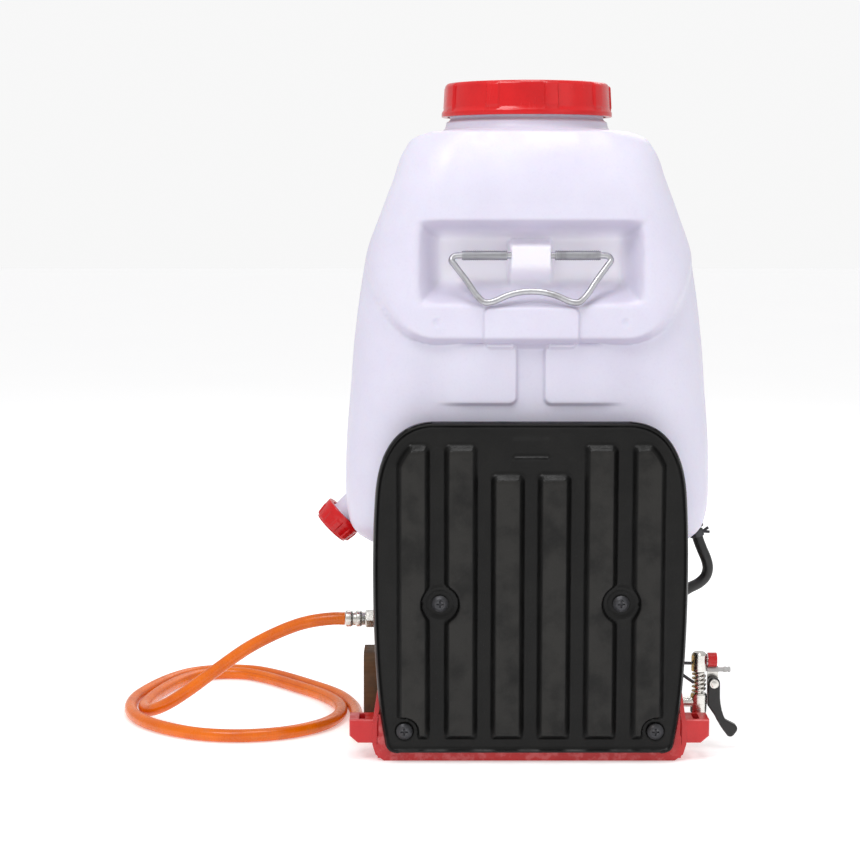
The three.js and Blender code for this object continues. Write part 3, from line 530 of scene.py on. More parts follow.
TANK_PLASTIC = TankPlastic("tank_plastic", (0.7, 0.68, 0.8), (0.64, 0.61, 0.74), (0.33, 0.48), depth=0.00005,
                           blotch=0.12, clear=0.12, dust=0.05, worn=0.0, seam=True)
RED_GLOSS = Plastic("red_gloss", (0.62, 0.006, 0.008), (0.48, 0.004, 0.006), (0.17, 0.3), coat=0.12,
                    worn=0.08, dust=0.03, shine=0.36)
RED_TRAY = Plastic("red_tray", (0.56, 0.012, 0.014), (0.44, 0.008, 0.011), (0.28, 0.45), worn=0.3, dust=0.06)
BLACK_PLATE = PlatePlastic("black_plate", (0.0095, 0.0093, 0.009), (0.014, 0.0136, 0.0128), (0.28, 0.4),
                           Texture.LEATHER, depth=0.0001, blotch=0.03, worn=0.0, dust=0.008, shine=0.17)
BLACK_SATIN = Plastic("black_plastic", (0.014, 0.014, 0.014), (0.022, 0.022, 0.021), (0.3, 0.46),
                      Texture.LEATHER, depth=0.00008, dust=0.04, shine=0.4)
FUEL_PLASTIC = Plastic("fuel_plastic", (0.8, 0.78, 0.68), (0.7, 0.66, 0.52), (0.35, 0.5), clear=0.1, worn=0.0)
GREY_PLASTIC = Plastic("grey_plastic", (0.5, 0.5, 0.49), (0.42, 0.42, 0.41), (0.4, 0.55))
RUBBER = Plastic("rubber", (0.009, 0.009, 0.009), (0.018, 0.0175, 0.017), (0.32, 0.5), worn=0.05, dust=0.06)
ROPE = Plastic("rope", (0.03, 0.03, 0.032), (0.06, 0.058, 0.055), (0.6, 0.8), depth=0.0002, shine=0.2)
BRIGHT_WIRE = Metal("bright_wire", (0.52, 0.52, 0.54), (0.2, 0.19, 0.19), (0.25, 0.42), spread=0.6)
DARK_STEEL = Metal("dark_steel", (0.045, 0.045, 0.05), (0.09, 0.06, 0.045), (0.35, 0.55), Texture.CAST,
                   metallic=0.6, spread=0.35)
ALUMINIUM = Metal("aluminium", (0.56, 0.57, 0.58), (0.27, 0.26, 0.25), (0.4, 0.6), Texture.CAST,
                  depth=0.00012, spread=0.5)
BRASS = Metal("brass", (0.66, 0.46, 0.2), (0.28, 0.18, 0.09), (0.25, 0.42), spread=0.45)
NICKEL = Metal("nickel", (0.66, 0.64, 0.6), (0.33, 0.29, 0.24), (0.16, 0.32), spread=0.35)
HEAT_BROWN = Metal("heat_brown", (0.09, 0.048, 0.022), (0.2, 0.085, 0.03), (0.45, 0.65), Texture.CAST,
                   metallic=0.5, spread=0.8)
SLEEVE_GREY = Metal("sleeve_grey", (0.34, 0.34, 0.36), (0.15, 0.15, 0.15), (0.4, 0.6), Texture.CAST,
                    metallic=0.8, spread=0.5)

FINISHES: dict[str, Finish] = {
    "tank_plastic": TANK_PLASTIC,
    "fuel_plastic": FUEL_PLASTIC,
    "red_plastic": RED_GLOSS,
    "black_plastic": BLACK_SATIN,
    "rubber": RUBBER,
    "bright_steel": BRIGHT_WIRE,
    "dark_steel": DARK_STEEL,
    "aluminium": ALUMINIUM,
    "brass": BRASS,
    "nickel": NICKEL,
    "hose_orange": HoseSkin(),
    "heat_brown": HEAT_BROWN,
    "grey_plastic": GREY_PLASTIC,
    "sleeve_grey": SLEEVE_GREY,
}


# ---- mesh helpers ----
def ease(value: np.ndarray | float) -> np.ndarray:
    """A smooth step from 0 at 0 to 1 at 1."""
    t = np.clip(value, 0.0, 1.0)
    return t * t * (3.0 - 2.0 * t)


def rounded_distance(
    x: np.ndarray, z: np.ndarray, middle: tuple[float, float], half: tuple[float, float], corner: float
) -> np.ndarray:
    """The distance outside a rounded rectangle, which is negative inside it.

    Args:
        x: the points' places across.
        z: their heights.
        middle: the rectangle's centre.
        half: its half width and half height.
        corner: its corner radius.

    Returns:
        A distance for each point, in metres.
    """
    over = np.abs(x - middle[0]) - half[0] + corner
    above = np.abs(z - middle[1]) - half[1] + corner
    outside = np.hypot(np.maximum(over, 0.0), np.maximum(above, 0.0))
    return outside + np.minimum(np.maximum(over, above), 0.0) - corner


def bezier(t: np.ndarray, *corners: tuple[float, float]) -> np.ndarray:
    """A cubic Bezier curve through the first and last of four corners, at each t of a column."""
    weights = ((1 - t) ** 3, 3 * t * (1 - t) ** 2, 3 * t**2 * (1 - t), t**3)
    return sum(weight * np.array(corner) for weight, corner in zip(weights, corners))


def smooth_line(points: Sequence[Point], step: float) -> np.ndarray:
    """A centripetal Catmull-Rom curve through points.

    Args:
        points: the points to pass through.
        step: the spacing of the samples in metres.

    Returns:
        The samples, one row each.
    """
    given = [np.array(point, float) for point in points]
    given = [2.0 * given[0] - given[1], *given, 2.0 * given[-1] - given[-2]]
    rows = []
    for a, b, c, d in zip(given, given[1:], given[2:], given[3:]):
        knots = np.cumsum([0.0, *(np.linalg.norm(q - p) ** 0.5 for p, q in ((a, b), (b, c), (c, d)))])
        count = max(2, int(np.linalg.norm(c - b) / step) + 1)
        for t in np.linspace(knots[1], knots[2], count, endpoint=False):
            level = [a, b, c, d]
            for reach in (1, 2):
                level = [
                    (p * (knots[i + reach] - t) + q * (t - knots[i])) / (knots[i + reach] - knots[i])
                    for i, (p, q) in enumerate(zip(level, level[1:]))
                ]
            low, high = knots[1], knots[2]
            rows.append((level[0] * (high - t) + level[1] * (t - low)) / (high - low))
    rows.append(given[-2])
    return np.array(rows)


def grid_faces(rows: int, columns: int, wrap: bool = True) -> list[tuple[int, ...]]:
    """Quads over a grid of points in rows, which wrap round if asked to."""
    made = []
    for row in range(rows - 1):
        low, high = row * columns, (row + 1) * columns
        for here in range(columns if wrap else columns - 1):
            after = (here + 1) % columns
            made.append((low + here, low + after, high + after, high + here))
    return made


def tube(line: np.ndarray, radius: float, sides: int = 24) -> Shape:
    """A round section carried along a line without twisting, with closed ends."""
    way = np.gradient(line, axis=0)
    way /= np.linalg.norm(way, axis=1)[:, None]
    side = np.cross(way[0], (0.0, 0.0, 1.0) if abs(way[0][2]) < 0.9 else (1.0, 0.0, 0.0))
    angles = np.linspace(0.0, 2.0 * math.pi, sides, endpoint=False)
    rings = []
    for centre, forward in zip(line, way):
        side = side - forward * (side @ forward)
        side /= np.linalg.norm(side)
        up = np.cross(side, forward)
        rings.append(centre + radius * (np.outer(np.cos(angles), side) + np.outer(np.sin(angles), up)))
    count = len(line)
    ends = [tuple(range(sides))[::-1], tuple(range((count - 1) * sides, count * sides))]
    return np.vstack(rings), grid_faces(count, sides) + ends


def softened(profile: Profile, radius: float, steps: int = 4) -> list[tuple[float, float]]:
    """A profile with its inner corners rounded.

    Args:
        profile: radius and height pairs.
        radius: how far from each corner the rounding starts, at most.
        steps: the samples of each rounding.

    Returns:
        The rounded profile.
    """
    made = [profile[0]]
    for before, corner, after in zip(profile, profile[1:], profile[2:]):
        a, b, c = (np.array(point) for point in (before, corner, after))
        start = b + (a - b) * min(radius / max(np.linalg.norm(a - b), 1e-9), 0.45)
        end = b + (c - b) * min(radius / max(np.linalg.norm(c - b), 1e-9), 0.45)
        for t in np.linspace(0.0, 1.0, steps):
            made.append(tuple(start * (1 - t) ** 2 + 2 * b * t * (1 - t) + end * t**2))
    return [*made, profile[-1]]


def turned(profile: Profile, at: Point, axis: Point, sides: int = 64, swell: Swell | None = None) -> Shape:
    """A turned piece whose profile ends are closed with a face.

    Args:
        profile: radius and height pairs along the axis.
        at: the point that heights are counted from.
        axis: the direction of the axis.
        sides: the points round it.
        swell: what is added to the radius, given the angles and the height.

    Returns:
        The points and faces.
    """
    way = Vector(axis).normalized()
    turn = np.array(way.to_track_quat("Z", "Y").to_matrix())
    angles = np.linspace(0.0, 2.0 * math.pi, sides, endpoint=False)
    rings = []
    for radius, height in profile:
        reach = radius + (swell(angles, height) if swell and radius > 0.001 else 0.0)
        reach = np.maximum(reach, 1e-5)
        across, up = reach * np.cos(angles), reach * np.sin(angles)
        rings.append(np.column_stack([across, up, np.full(sides, height)]))
    points = np.vstack(rings) @ turn.T + np.array(at)
    count = len(profile)
    ends = [tuple(range(sides))[::-1], tuple(range((count - 1) * sides, count * sides))]
    return points, grid_faces(count, sides) + ends


def ring(profile: Profile, at: Point, axis: Point, sides: int = 64) -> Shape:
    """A turned ring whose profile joins up with itself."""
    points, faces = turned([*profile, profile[0]], at, axis, sides)
    return points, faces[:-2]


def united(*shapes: Shape) -> Shape:
    """Several shapes in one mesh."""
    points, faces, start = [], [], 0
    for corners, polygons in shapes:
        points.append(corners)
        faces += [tuple(start + corner for corner in polygon) for polygon in polygons]
        start += len(corners)
    return np.vstack(points), faces


def bolt(at: Point, axis: Point, across: float, height: float) -> Shape:
    """A six-sided bolt head on its washer, with a domed top."""
    radius = across / math.sqrt(3.0)
    rim, thickness = 1.3 * radius, 0.001
    domed = [(radius, 0.0), (radius, 0.8 * height), (0.82 * radius, height), (0.0, 1.04 * height)]
    flat = [(0.0, 0.0), (rim, 0.0), (rim, thickness), (0.0, thickness)]
    return united(turned(domed, at, axis, 6), turned(softened(flat, 0.0003), at, axis, 24))


def new_piece(name: str, shape: Shape, sharp: float = 40.0) -> bpy.types.Object:
    """An object from a shape, smooth except across edges sharper than an angle.

    Args:
        name: the object's name.
        shape: its points and faces.
        sharp: the angle in degrees above which an edge stays sharp.

    Returns:
        The object.
    """
    mesh = bpy.data.meshes.new(name)
    mesh.from_pydata(shape[0].tolist(), [], shape[1])
    work = bmesh.new()
    work.from_mesh(mesh)
    bmesh.ops.remove_doubles(work, verts=work.verts, dist=1e-6)
    bmesh.ops.recalc_face_normals(work, faces=work.faces)
    work.to_mesh(mesh)
    work.free()
    return shown(name, mesh, sharp)


def shown(name: str, mesh: bpy.types.Mesh, sharp: float) -> bpy.types.Object:
    """Puts a mesh in the scene with its smooth and sharp edges set."""
    mesh.polygons.foreach_set("use_smooth", [True] * len(mesh.polygons))
    mesh.set_sharp_from_angle(angle=math.radians(sharp))
    piece = bpy.data.objects.new(name, mesh)
    bpy.context.scene.collection.objects.link(piece)
    return piece


def refined(node: str, edge: float = 0.0008, sharp: float = 36.0) -> bpy.types.Object:
    """A CAD node's shape with its facets joined up, its edges rounded and its round faces smooth.

    Args:
        node: the CAD node's name.
        edge: the width of the rounding in metres.
        sharp: the angle in degrees above which an edge is rounded.

    Returns:
        A new object; the CAD node itself isn't changed.
    """
    work = bmesh.new()
    work.from_mesh(frame["nodes"][node].data)
    bmesh.ops.remove_doubles(work, verts=work.verts, dist=2e-5)
    bmesh.ops.dissolve_limit(work, angle_limit=math.radians(0.5), verts=work.verts, edges=work.edges)
    bmesh.ops.triangulate(work, faces=[face for face in work.faces if len(face.verts) > 4])
    name = f"{node}_made"
    mesh = bpy.data.meshes.new(name)
    work.to_mesh(mesh)
    work.free()
    piece = shown(name, mesh, 60.0)
    rounding = piece.modifiers.new("edges", "BEVEL")
    rounding.width = edge
    rounding.segments = 3
    rounding.limit_method = "ANGLE"
    rounding.angle_limit = math.radians(sharp)
    weighted = piece.modifiers.new("normals", "WEIGHTED_NORMAL")
    weighted.keep_sharp = True
    return piece


def install(
    piece: bpy.types.Object, node: str, finish: Finish | None = None, stands: bool = True
) -> bpy.types.Object:
    """Dresses a piece and lets it ride on the body of the CAD node that it belongs to.

    Args:
        piece: the piece, already in place.
        node: the CAD node that it stands for, or that it is fixed to.
        finish: its finish, if it isn't that of the node's material slot.
        stands: whether it is shown instead of the node.

    Returns:
        The piece.
    """
    slot = SLOT_OF[node]
    piece.data.materials.append((finish or FINISHES[slot]).material())
    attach(piece, BODY_OF[node])
    if stands:
        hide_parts(node)
    log.info("%s rides on %s", piece.name, BODY_OF[node])
    return piece


# ---- studio ----
@dataclass
class Studio:
    """The camera, the soft lights and the floor."""

    eye: Point = (-0.0955, -2.0, 0.535)
    dip: float = 6.53
    lens: float = 83.72
    floor_half: float = 14.0
    sky: float = 0.66
    backdrop: float = 0.935

    def build(self) -> None:
        """Makes the camera, the lights, the sky and the floor."""
        scene = bpy.context.scene
        camera = bpy.data.objects.new("camera", bpy.data.cameras.new("camera"))
        camera.data.lens = self.lens
        camera.data.sensor_width = 36.0
        camera.location = self.eye
        camera.rotation_euler = (math.radians(90.0 - self.dip), 0.0, 0.0)
        scene.collection.objects.link(camera)
        scene.camera = camera
        scene.view_settings.view_transform = "Standard"
        self.light("key", (-0.9, -1.3, 2.3), 0.9, 19.0)
        self.light("fill", (1.7, -1.7, 1.3), 1.6, 4.0)
        self.light("top", (0.1, -0.5, 2.3), 0.7, 11.0)
        self.light("back", (0.4, 1.8, 2.0), 1.6, 14.0)
        self.world(scene)
        self.floor()

    def light(self, name: str, at: Point, size: float, power: float) -> None:
        """A square soft light that faces the object.

        Args:
            name: the light's name.
            at: where it hangs.
            size: its width in metres.
            power: its power in watts.
        """
        data = bpy.data.lights.new(name, "AREA")
        data.size = size
        data.energy = power
        lamp = bpy.data.objects.new(name, data)
        lamp.location = at
        lamp.rotation_euler = (Vector((0.0, 0.0, 0.3)) - Vector(at)).to_track_quat("-Z", "Y").to_euler()
        bpy.context.scene.collection.objects.link(lamp)

    def world(self, scene: bpy.types.Scene) -> None:
        """A plain white sky that lights softly and shows as white."""
        world = bpy.data.worlds.new("sky")
        scene.world = world
        world.use_nodes = True
        world.node_tree.nodes.clear()
        tree = NodeTree(world.node_tree)
        white = (1.0, 1.0, 1.0)
        lit = tree.node("ShaderNodeBackground", inputs={"Color": white, "Strength": self.sky})
        seen = tree.node("ShaderNodeBackground", inputs={"Color": (self.backdrop,) * 3, "Strength": 1.0})
        straight = tree.node("ShaderNodeLightPath").outputs["Is Camera Ray"]
        choice = tree.node("ShaderNodeMixShader", inputs={0: straight, 1: lit.outputs[0], 2: seen.outputs[0]})
        tree.node("ShaderNodeOutputWorld", inputs={0: choice.outputs[0]})

    def floor(self) -> None:
        """The pale floor, just below the lowest piece."""
        reach = self.floor_half
        signs = ((-1, -1), (1, -1), (1, 1), (-1, 1))
        corners = np.array([(reach * x, reach * y, 0.0) for x, y in signs])
        floor = new_piece("studio_floor", (corners, [(0, 1, 2, 3)]))
        floor.location.z = -0.0002
        floor.data.materials.append(Backdrop().material())


# ---- spray hose ----
@dataclass
class SprayHose:
    """The free pressure hose, which drops to the floor and lies in an open loop of almost two turns."""

    diameter: float = 0.013
    length: float = 1.52
    step: float = 0.004
    route: tuple[Point, ...] = (
        (-0.182, 0.0, 0.113), (-0.194, 0.0, 0.113), (-0.219, 0.003, 0.109), (-0.243, 0.007, 0.1005),
        (-0.28, 0.01, 0.0815), (-0.314, 0.0085, 0.058), (-0.344, 0.007, 0.036), (-0.366, 0.0125, 0.021),
        (-0.385, 0.029, 0.0105), (-0.3955, 0.055, 0.007), (-0.394, 0.09, 0.0065), (-0.386, 0.13, 0.0065),
        (-0.3705, 0.1745, 0.0065), (-0.355, 0.1965, 0.0065), (-0.3305, 0.208, 0.0065),
        (-0.3035, 0.2055, 0.0065), (-0.2825, 0.1915, 0.0065), (-0.244, 0.149, 0.0065),
        (-0.209, 0.104, 0.0065), (-0.1905, 0.062, 0.0065), (-0.19, 0.022, 0.0065),
        (-0.205, -0.015, 0.0065), (-0.237, -0.044, 0.0065),
        (-0.279, -0.057, 0.0065), (-0.322, -0.052, 0.0065), (-0.36, -0.03, 0.0065), (-0.39, 0.002, 0.0065),
        (-0.4075, 0.042, 0.0065), (-0.411, 0.088, 0.0065), (-0.401, 0.136, 0.0065), (-0.383, 0.1815, 0.0065),
        (-0.3625, 0.209, 0.0065), (-0.3305, 0.2225, 0.0065), (-0.2965, 0.2185, 0.0065),
        (-0.271, 0.201, 0.0065), (-0.231, 0.157, 0.0065), (-0.1935, 0.106, 0.0065), (-0.1765, 0.06, 0.0065),
        (-0.1715, 0.022, 0.0078), (-0.169, -0.008, 0.0092),
    )

    def build(self) -> None:
        line = smooth_line(self.route, self.step)
        sides = 24
        hose = new_piece("spray_hose_made", tube(line, self.diameter / 2.0, sides))
        along = np.concatenate([[0.0], np.cumsum(np.linalg.norm(np.diff(line, axis=0), axis=1))])
        around = np.linspace(0.0, 2.0 * math.pi, sides, endpoint=False)
        self.note(hose, "along", np.repeat(along, sides))
        self.note(hose, "around", np.tile(around, len(line)))
        install(hose, "spray_hose")
        connector = install(refined("hose_connector", 0.0006), "hose_connector")

    def note(self, hose: bpy.types.Object, name: str, values: np.ndarray) -> None:
        """Keeps a number at each point of the hose for its finish."""
        held = hose.data.attributes.new(name, "FLOAT", "POINT")
        held.data.foreach_set("value", values.astype(np.float32))


# ---- tank ----
@dataclass
class Tank:
    """The blow-moulded tank: a bulging upper half with a hand recess, raised pads and a threaded neck."""

    levels: tuple[tuple[float, float, float], ...] = (
        (0.201, 0.150, 0.034), (0.2055, 0.162, 0.050), (0.214, 0.171, 0.058), (0.230, 0.1765, 0.062),
        (0.255, 0.1785, 0.062), (0.300, 0.1775, 0.062), (0.350, 0.1735, 0.062), (0.400, 0.1695, 0.062),
        (0.460, 0.1615, 0.062), (0.490, 0.1555, 0.061), (0.520, 0.1445, 0.058), (0.555, 0.131, 0.055),
        (0.585, 0.1195, 0.050), (0.597, 0.108, 0.044), (0.601, 0.095, 0.036),
    )
    front: float = -0.106
    back: float = 0.118
    bulge: float = 0.012
    neck: float = 0.0795
    thread: float = 0.0755
    mouth: float = 0.069
    neck_top: float = 0.641
    pitch: float = 0.012
    drain_at: Point = (-0.181, 0.0, 0.221)
    drain_way: Point = (-math.sqrt(0.5), 0.0, -math.sqrt(0.5))
    spout: float = 0.015
    recess: tuple[float, float, float] = (0.519, 0.434, 0.110)
    recess_slopes: tuple[float, float, float] = (0.0215, 0.028, 0.026)
    recess_depth: float = 0.034
    lug_half: float = 0.0219
    lug_rise: float = 0.0258
    lug_heights: tuple[float, float] = (0.4995, 0.454)
    crease_curve: Profile = ((0.088, 0.400), (0.122, 0.400), (0.146, 0.428), (0.160, 0.478))
    crease_end: tuple[float, float] = (0.200, 0.484)
    crease_round: float = 0.009
    pad_rise: float = 0.0034
    panel_rise: float = 0.0042

    def build(self) -> None:
        """Makes the tank and its drain spout."""
        install(new_piece("tank_made", self.shell(), 75.0), "tank")
        install(new_piece("tank_spout", self.drain_spout()), "tank", stands=False)

    def around(self) -> tuple[np.ndarray, ...]:
        """How each point of a level depends on its sizes.

        Returns:
            The share of the straight half width and half depth, then the corner arc's direction.
        """
        wide, side, arc = 170, 46, 20
        parts = []
        for quarter, count in enumerate((wide, side, wide, side)):
            edge = (0, 1, 0, -1)[quarter], (-1, 0, 1, 0)[quarter]
            along = np.linspace(-1.0, 1.0, count, endpoint=False)
            runs = along if quarter < 2 else -along
            still = np.full(count, edge[0]), np.full(count, edge[1])
            share = (runs, still[1]) if quarter % 2 == 0 else (still[0], runs)
            parts.append((*share, *still))
            turn = (quarter - 1 + np.linspace(0.0, 1.0, arc, endpoint=False)) * math.pi / 2.0
            corner = ((1, -1), (1, 1), (-1, 1), (-1, -1))[quarter]
            fixed = np.full(arc, corner[0]), np.full(arc, corner[1])
            parts.append((*fixed, np.cos(turn), np.sin(turn)))
        return tuple(np.concatenate(column).astype(float) for column in zip(*parts))

    def drawn_in(self, z: np.ndarray) -> np.ndarray:
        """How far the front and back faces draw in, because the bottom and top edges are rounded."""
        foot = np.maximum(0.0, 1.0 - (z - self.levels[0][0]) / 0.036)
        head = np.maximum(0.0, 1.0 - (self.levels[-1][0] - z) / 0.060)
        return 0.022 * foot**2.6 + 0.024 * head**2

    def crease(self, x: np.ndarray) -> tuple[np.ndarray, np.ndarray]:
        """The height of the bulge's lower edge, and its slope, at a distance from the middle."""
        curve = bezier(np.linspace(0.0, 1.0, 60)[:, None], *self.crease_curve)
        across, height = np.vstack([curve, self.crease_end]).T
        return np.interp(np.abs(x), across, height), np.interp(np.abs(x), across, np.gradient(height, across))

    def swollen(self, x: np.ndarray, z: np.ndarray) -> np.ndarray:
        """The share of the bulge at each point, with a crisp crease and a rounded brow above it."""
        height, slope = self.crease(x)
        past = (z - height) / np.sqrt(1.0 + slope**2)
        return 1.0 - (1.0 - np.clip(past / self.crease_round, 0.0, 1.0)) ** 2.4

    def front_relief(self, x: np.ndarray, z: np.ndarray) -> np.ndarray:
        """How far the front face stands out, past its bulge: pads are positive and the recess negative."""
        side = np.abs(x)
        top, low, half = self.recess
        edges = (top - z, z - low, half - side)
        above, below, beside = (edge / slope for edge, slope in zip(edges, self.recess_slopes))
        inward = np.minimum(np.minimum(above, below), beside)
        hollow = 0.5 * ease(inward) + 0.5 * ease(above * 1.04) * ease(below) * ease(beside * 1.04)
        pad = rounded_distance(x, z, (0.0, 0.4165), (0.045, 0.0195), 0.008)
        panel = rounded_distance(side, z, (0.056, 0.3715), (0.043, 0.0285), 0.007)
        fade = 1.0 - ease((side - 0.055) / 0.040)
        dimple = np.hypot(side - 0.089, z - 0.421)
        lug = ease((self.lug_half - side) / 0.004)
        lug *= ease((self.lug_heights[0] - z) / 0.008) * ease((z - self.lug_heights[1]) / 0.022)
        return (
            -self.recess_depth * hollow
            + self.lug_rise * lug
            + self.pad_rise * ease(0.5 - pad / 0.0024)
            + self.panel_rise * ease(0.5 - panel / 0.0026) * fade
            - 0.0012 * ease((0.005 - dimple) / 0.003)
        )

    def back_relief(self, x: np.ndarray, z: np.ndarray) -> np.ndarray:
        """How far the back face is pressed in by its two stiffening grooves."""
        groove = rounded_distance(np.abs(x), z, (0.058, 0.375), (0.011, 0.125), 0.010)
        return 0.004 * ease(0.5 - groove / 0.007)

    def shell(self) -> Shape:
        """The tank's outer surface, from its pressed-in bottom to the inside of its mouth."""
        share_x, share_y, arc_x, arc_y = self.around()
        low, top = self.levels[0][0], self.levels[-1][0]
        foot = low + 0.032
        z = np.concatenate([np.linspace(low, foot, 18, endpoint=False), np.linspace(foot, 0.560, 190),
                            np.linspace(0.562, top, 24)])
        half = self.curve(z, 1)[:, None]
        corner = self.curve(z, 2)[:, None]
        front = (self.front + self.drawn_in(z))[:, None]
        back = (self.back - self.drawn_in(z))[:, None]
        middle, depth = (front + back) / 2.0, (back - front) / 2.0
        height = np.broadcast_to(z[:, None], (len(z), len(share_x)))
        x = share_x * (half - corner) + arc_x * corner
        y = middle + share_y * (depth - corner) + arc_y * corner
        forward = ease(((middle - y) / depth + 0.1) / 0.6)
        facing = np.clip(-arc_y, 0.0, 1.0)
        y = y - self.bulge * self.swollen(x, height) * forward
        y = y - self.front_relief(x, height) * facing * (forward > 0.5)
        y = y - self.back_relief(x, height) * np.clip(arc_y, 0.0, 1.0)
        body = np.stack([x, y, height], axis=2)
        bottom = (0.05, 0.006), (0.5, 0.006), (0.8, 0.005), (0.86, 0.001), (0.95, 0.0)
        rows = [self.scaled(body[0], scale, rise) for scale, rise in bottom]
        rows += [*body, *self.neck_rows(body[-1])]
        points = np.vstack(rows)
        count = len(share_x)
        return points, grid_faces(len(rows), count) + [tuple(range(count))[::-1]]

    def curve(self, z: np.ndarray, column: int) -> np.ndarray:
        """A size of the levels at each height, on a curve without overshoot."""
        levels = np.array(self.levels)
        heights, sizes = levels[:, 0], levels[:, column]
        steps = np.diff(sizes) / np.diff(heights)
        slopes = np.concatenate([[steps[0]], (steps[1:] + steps[:-1]) / 2.0, [steps[-1]]])
        slopes[1:-1] = np.where(steps[1:] * steps[:-1] > 0.0, slopes[1:-1], 0.0)
        at = np.clip(np.searchsorted(heights, z, side="right") - 1, 0, len(steps) - 1)
        span = heights[at + 1] - heights[at]
        t = (z - heights[at]) / span
        near = sizes[at] * (1 + 2 * t) * (1 - t) ** 2 + slopes[at] * span * t * (1 - t) ** 2
        return near + sizes[at + 1] * t**2 * (3 - 2 * t) + slopes[at + 1] * span * t**2 * (t - 1)

    def scaled(self, row: np.ndarray, scale: float, rise: float) -> np.ndarray:
        """A level drawn in towards its middle and lifted, for the bottom."""
        middle = row.mean(axis=0)
        made = middle + (row - middle) * scale
        made[:, 2] = row[:, 2] + rise
        return made

    def neck_rows(self, top: np.ndarray) -> list[np.ndarray]:
        """The levels of the neck, its thread and its mouth, above the body's last level."""
        angle = np.arctan2(top[:, 1], top[:, 0])
        rows = []
        for share, extra, height in ((0.45, 0.006, 0.6022), (0.8, 0.0035, 0.6034)):
            rows.append(top * (1 - share) + self.circle(angle, self.neck + extra, height) * share)
            rows[-1][:, 2] = height
        root = self.thread
        neck = self.neck
        plain = [(neck + 0.0025, 0.6045), (neck + 0.0012, 0.6062), (neck + 0.0003, 0.6085), (neck, 0.6105),
                 (neck - 0.0005, 0.612), (root + 0.001, 0.6135), (root, 0.615)]
        rows += [self.circle(angle, radius, height) for radius, height in plain]
        first, last, run_out = 0.616, self.neck_top - 0.0025, 0.003
        for height in np.arange(first, last, 0.0009):
            phase = 2.0 * math.pi * (height / self.pitch) - angle
            ends = ease((height - first) / run_out) * ease((last - height) / run_out)
            rows.append(self.circle(angle, root + 0.0016 * ends * np.maximum(np.cos(phase), 0.0), height))
        top, mouth = self.neck_top, self.mouth
        rim = [(root, top - 0.0015), (root - 0.0008, top), (mouth + 0.001, top), (mouth, top - 0.0015),
               (mouth, 0.590)]
        return rows + [self.circle(angle, radius, height) for radius, height in rim]

    def circle(self, angle: np.ndarray, radius: np.ndarray | float, height: float) -> np.ndarray:
        """A round level at the body's angles."""
        x, y = radius * np.cos(angle), radius * np.sin(angle)
        return np.column_stack([x, y, np.full(len(angle), height)])

    def drain_spout(self) -> Shape:
        """The threaded drain spout, which stands inside its cap."""
        wall = self.spout - 0.001
        thread = [(wall, height) for height in np.arange(-0.019, 0.0115, 0.0005)]
        rim = [(wall, 0.0118), (wall - 0.001, 0.013), (0.0105, 0.013), (0.0100, 0.012)]
        profile = [(0.010, -0.020), (wall, -0.020), *thread, *rim]
        points, faces = turned(profile, self.drain_at, self.drain_way, 64, self.thread_swell)
        return points, faces[:-2]

    def thread_swell(self, angles: np.ndarray, height: float) -> np.ndarray:
        """What the spout's thread adds to its radius; the stretch next to the tank is plain."""
        return 0.0008 * ease((height + 0.001) / 0.002) * np.cos(2 * math.pi * height / 0.006 - angles)


# ---- screw caps and gaskets ----
@dataclass
class ScrewCap:
    """A moulded screw cap with a lip, lugs round its side and a pressed-in top."""

    node: str
    at: Point
    axis: Point
    radius: float
    lip: float
    height: float
    inner: float
    ceiling: float
    lugs: int
    lug_width: float
    lug_proud: float
    first_lug: float = 0.0
    finish: Finish = RED_GLOSS

    def build(self) -> None:
        """Makes the cap."""
        r, h = self.radius, self.height
        pressed, raised = h - 0.0016, h - 0.0010
        outer = [(self.inner, 0.0), (self.lip, 0.0), (self.lip, 0.0042), (r + 0.0004, 0.0068)]
        wall = [(r - 0.0012 * t, 0.0075 + (h - 0.0115) * t) for t in np.linspace(0.0, 1.0, 14)]
        top = [(r - 0.0014, h - 0.0026), (r - 0.0032, h), (0.89 * r, h), (0.865 * r, pressed),
               (0.62 * r, pressed), (0.60 * r, raised), (0.56 * r, raised), (0.54 * r, pressed),
               (0.0, h - 0.0014)]
        inside = [(0.0, self.ceiling), (self.inner, self.ceiling)]
        profile = [*inside, *softened(outer, 0.0008)[:-1], *wall, *softened(top, 0.0012)]
        cap = turned(profile, self.at, self.axis, 360, self.lug_swell)
        install(new_piece(f"{self.node}_made", cap, 50.0), self.node, self.finish)

    def lug_swell(self, angles: np.ndarray, height: float) -> np.ndarray:
        """What the lugs add to the radius: they start above the lip and stop at the top edge."""
        turn = 2.0 * math.pi / self.lugs
        off = np.abs((angles - self.first_lug + turn / 2.0) % turn - turn / 2.0) * self.radius
        flank = ease((self.lug_width / 2.0 - off) / 0.0009 + 0.5)
        rise = ease((height - 0.0062) / 0.002) * ease((self.height - 0.0008 - height) / 0.0024)
        return self.lug_proud * flank * rise


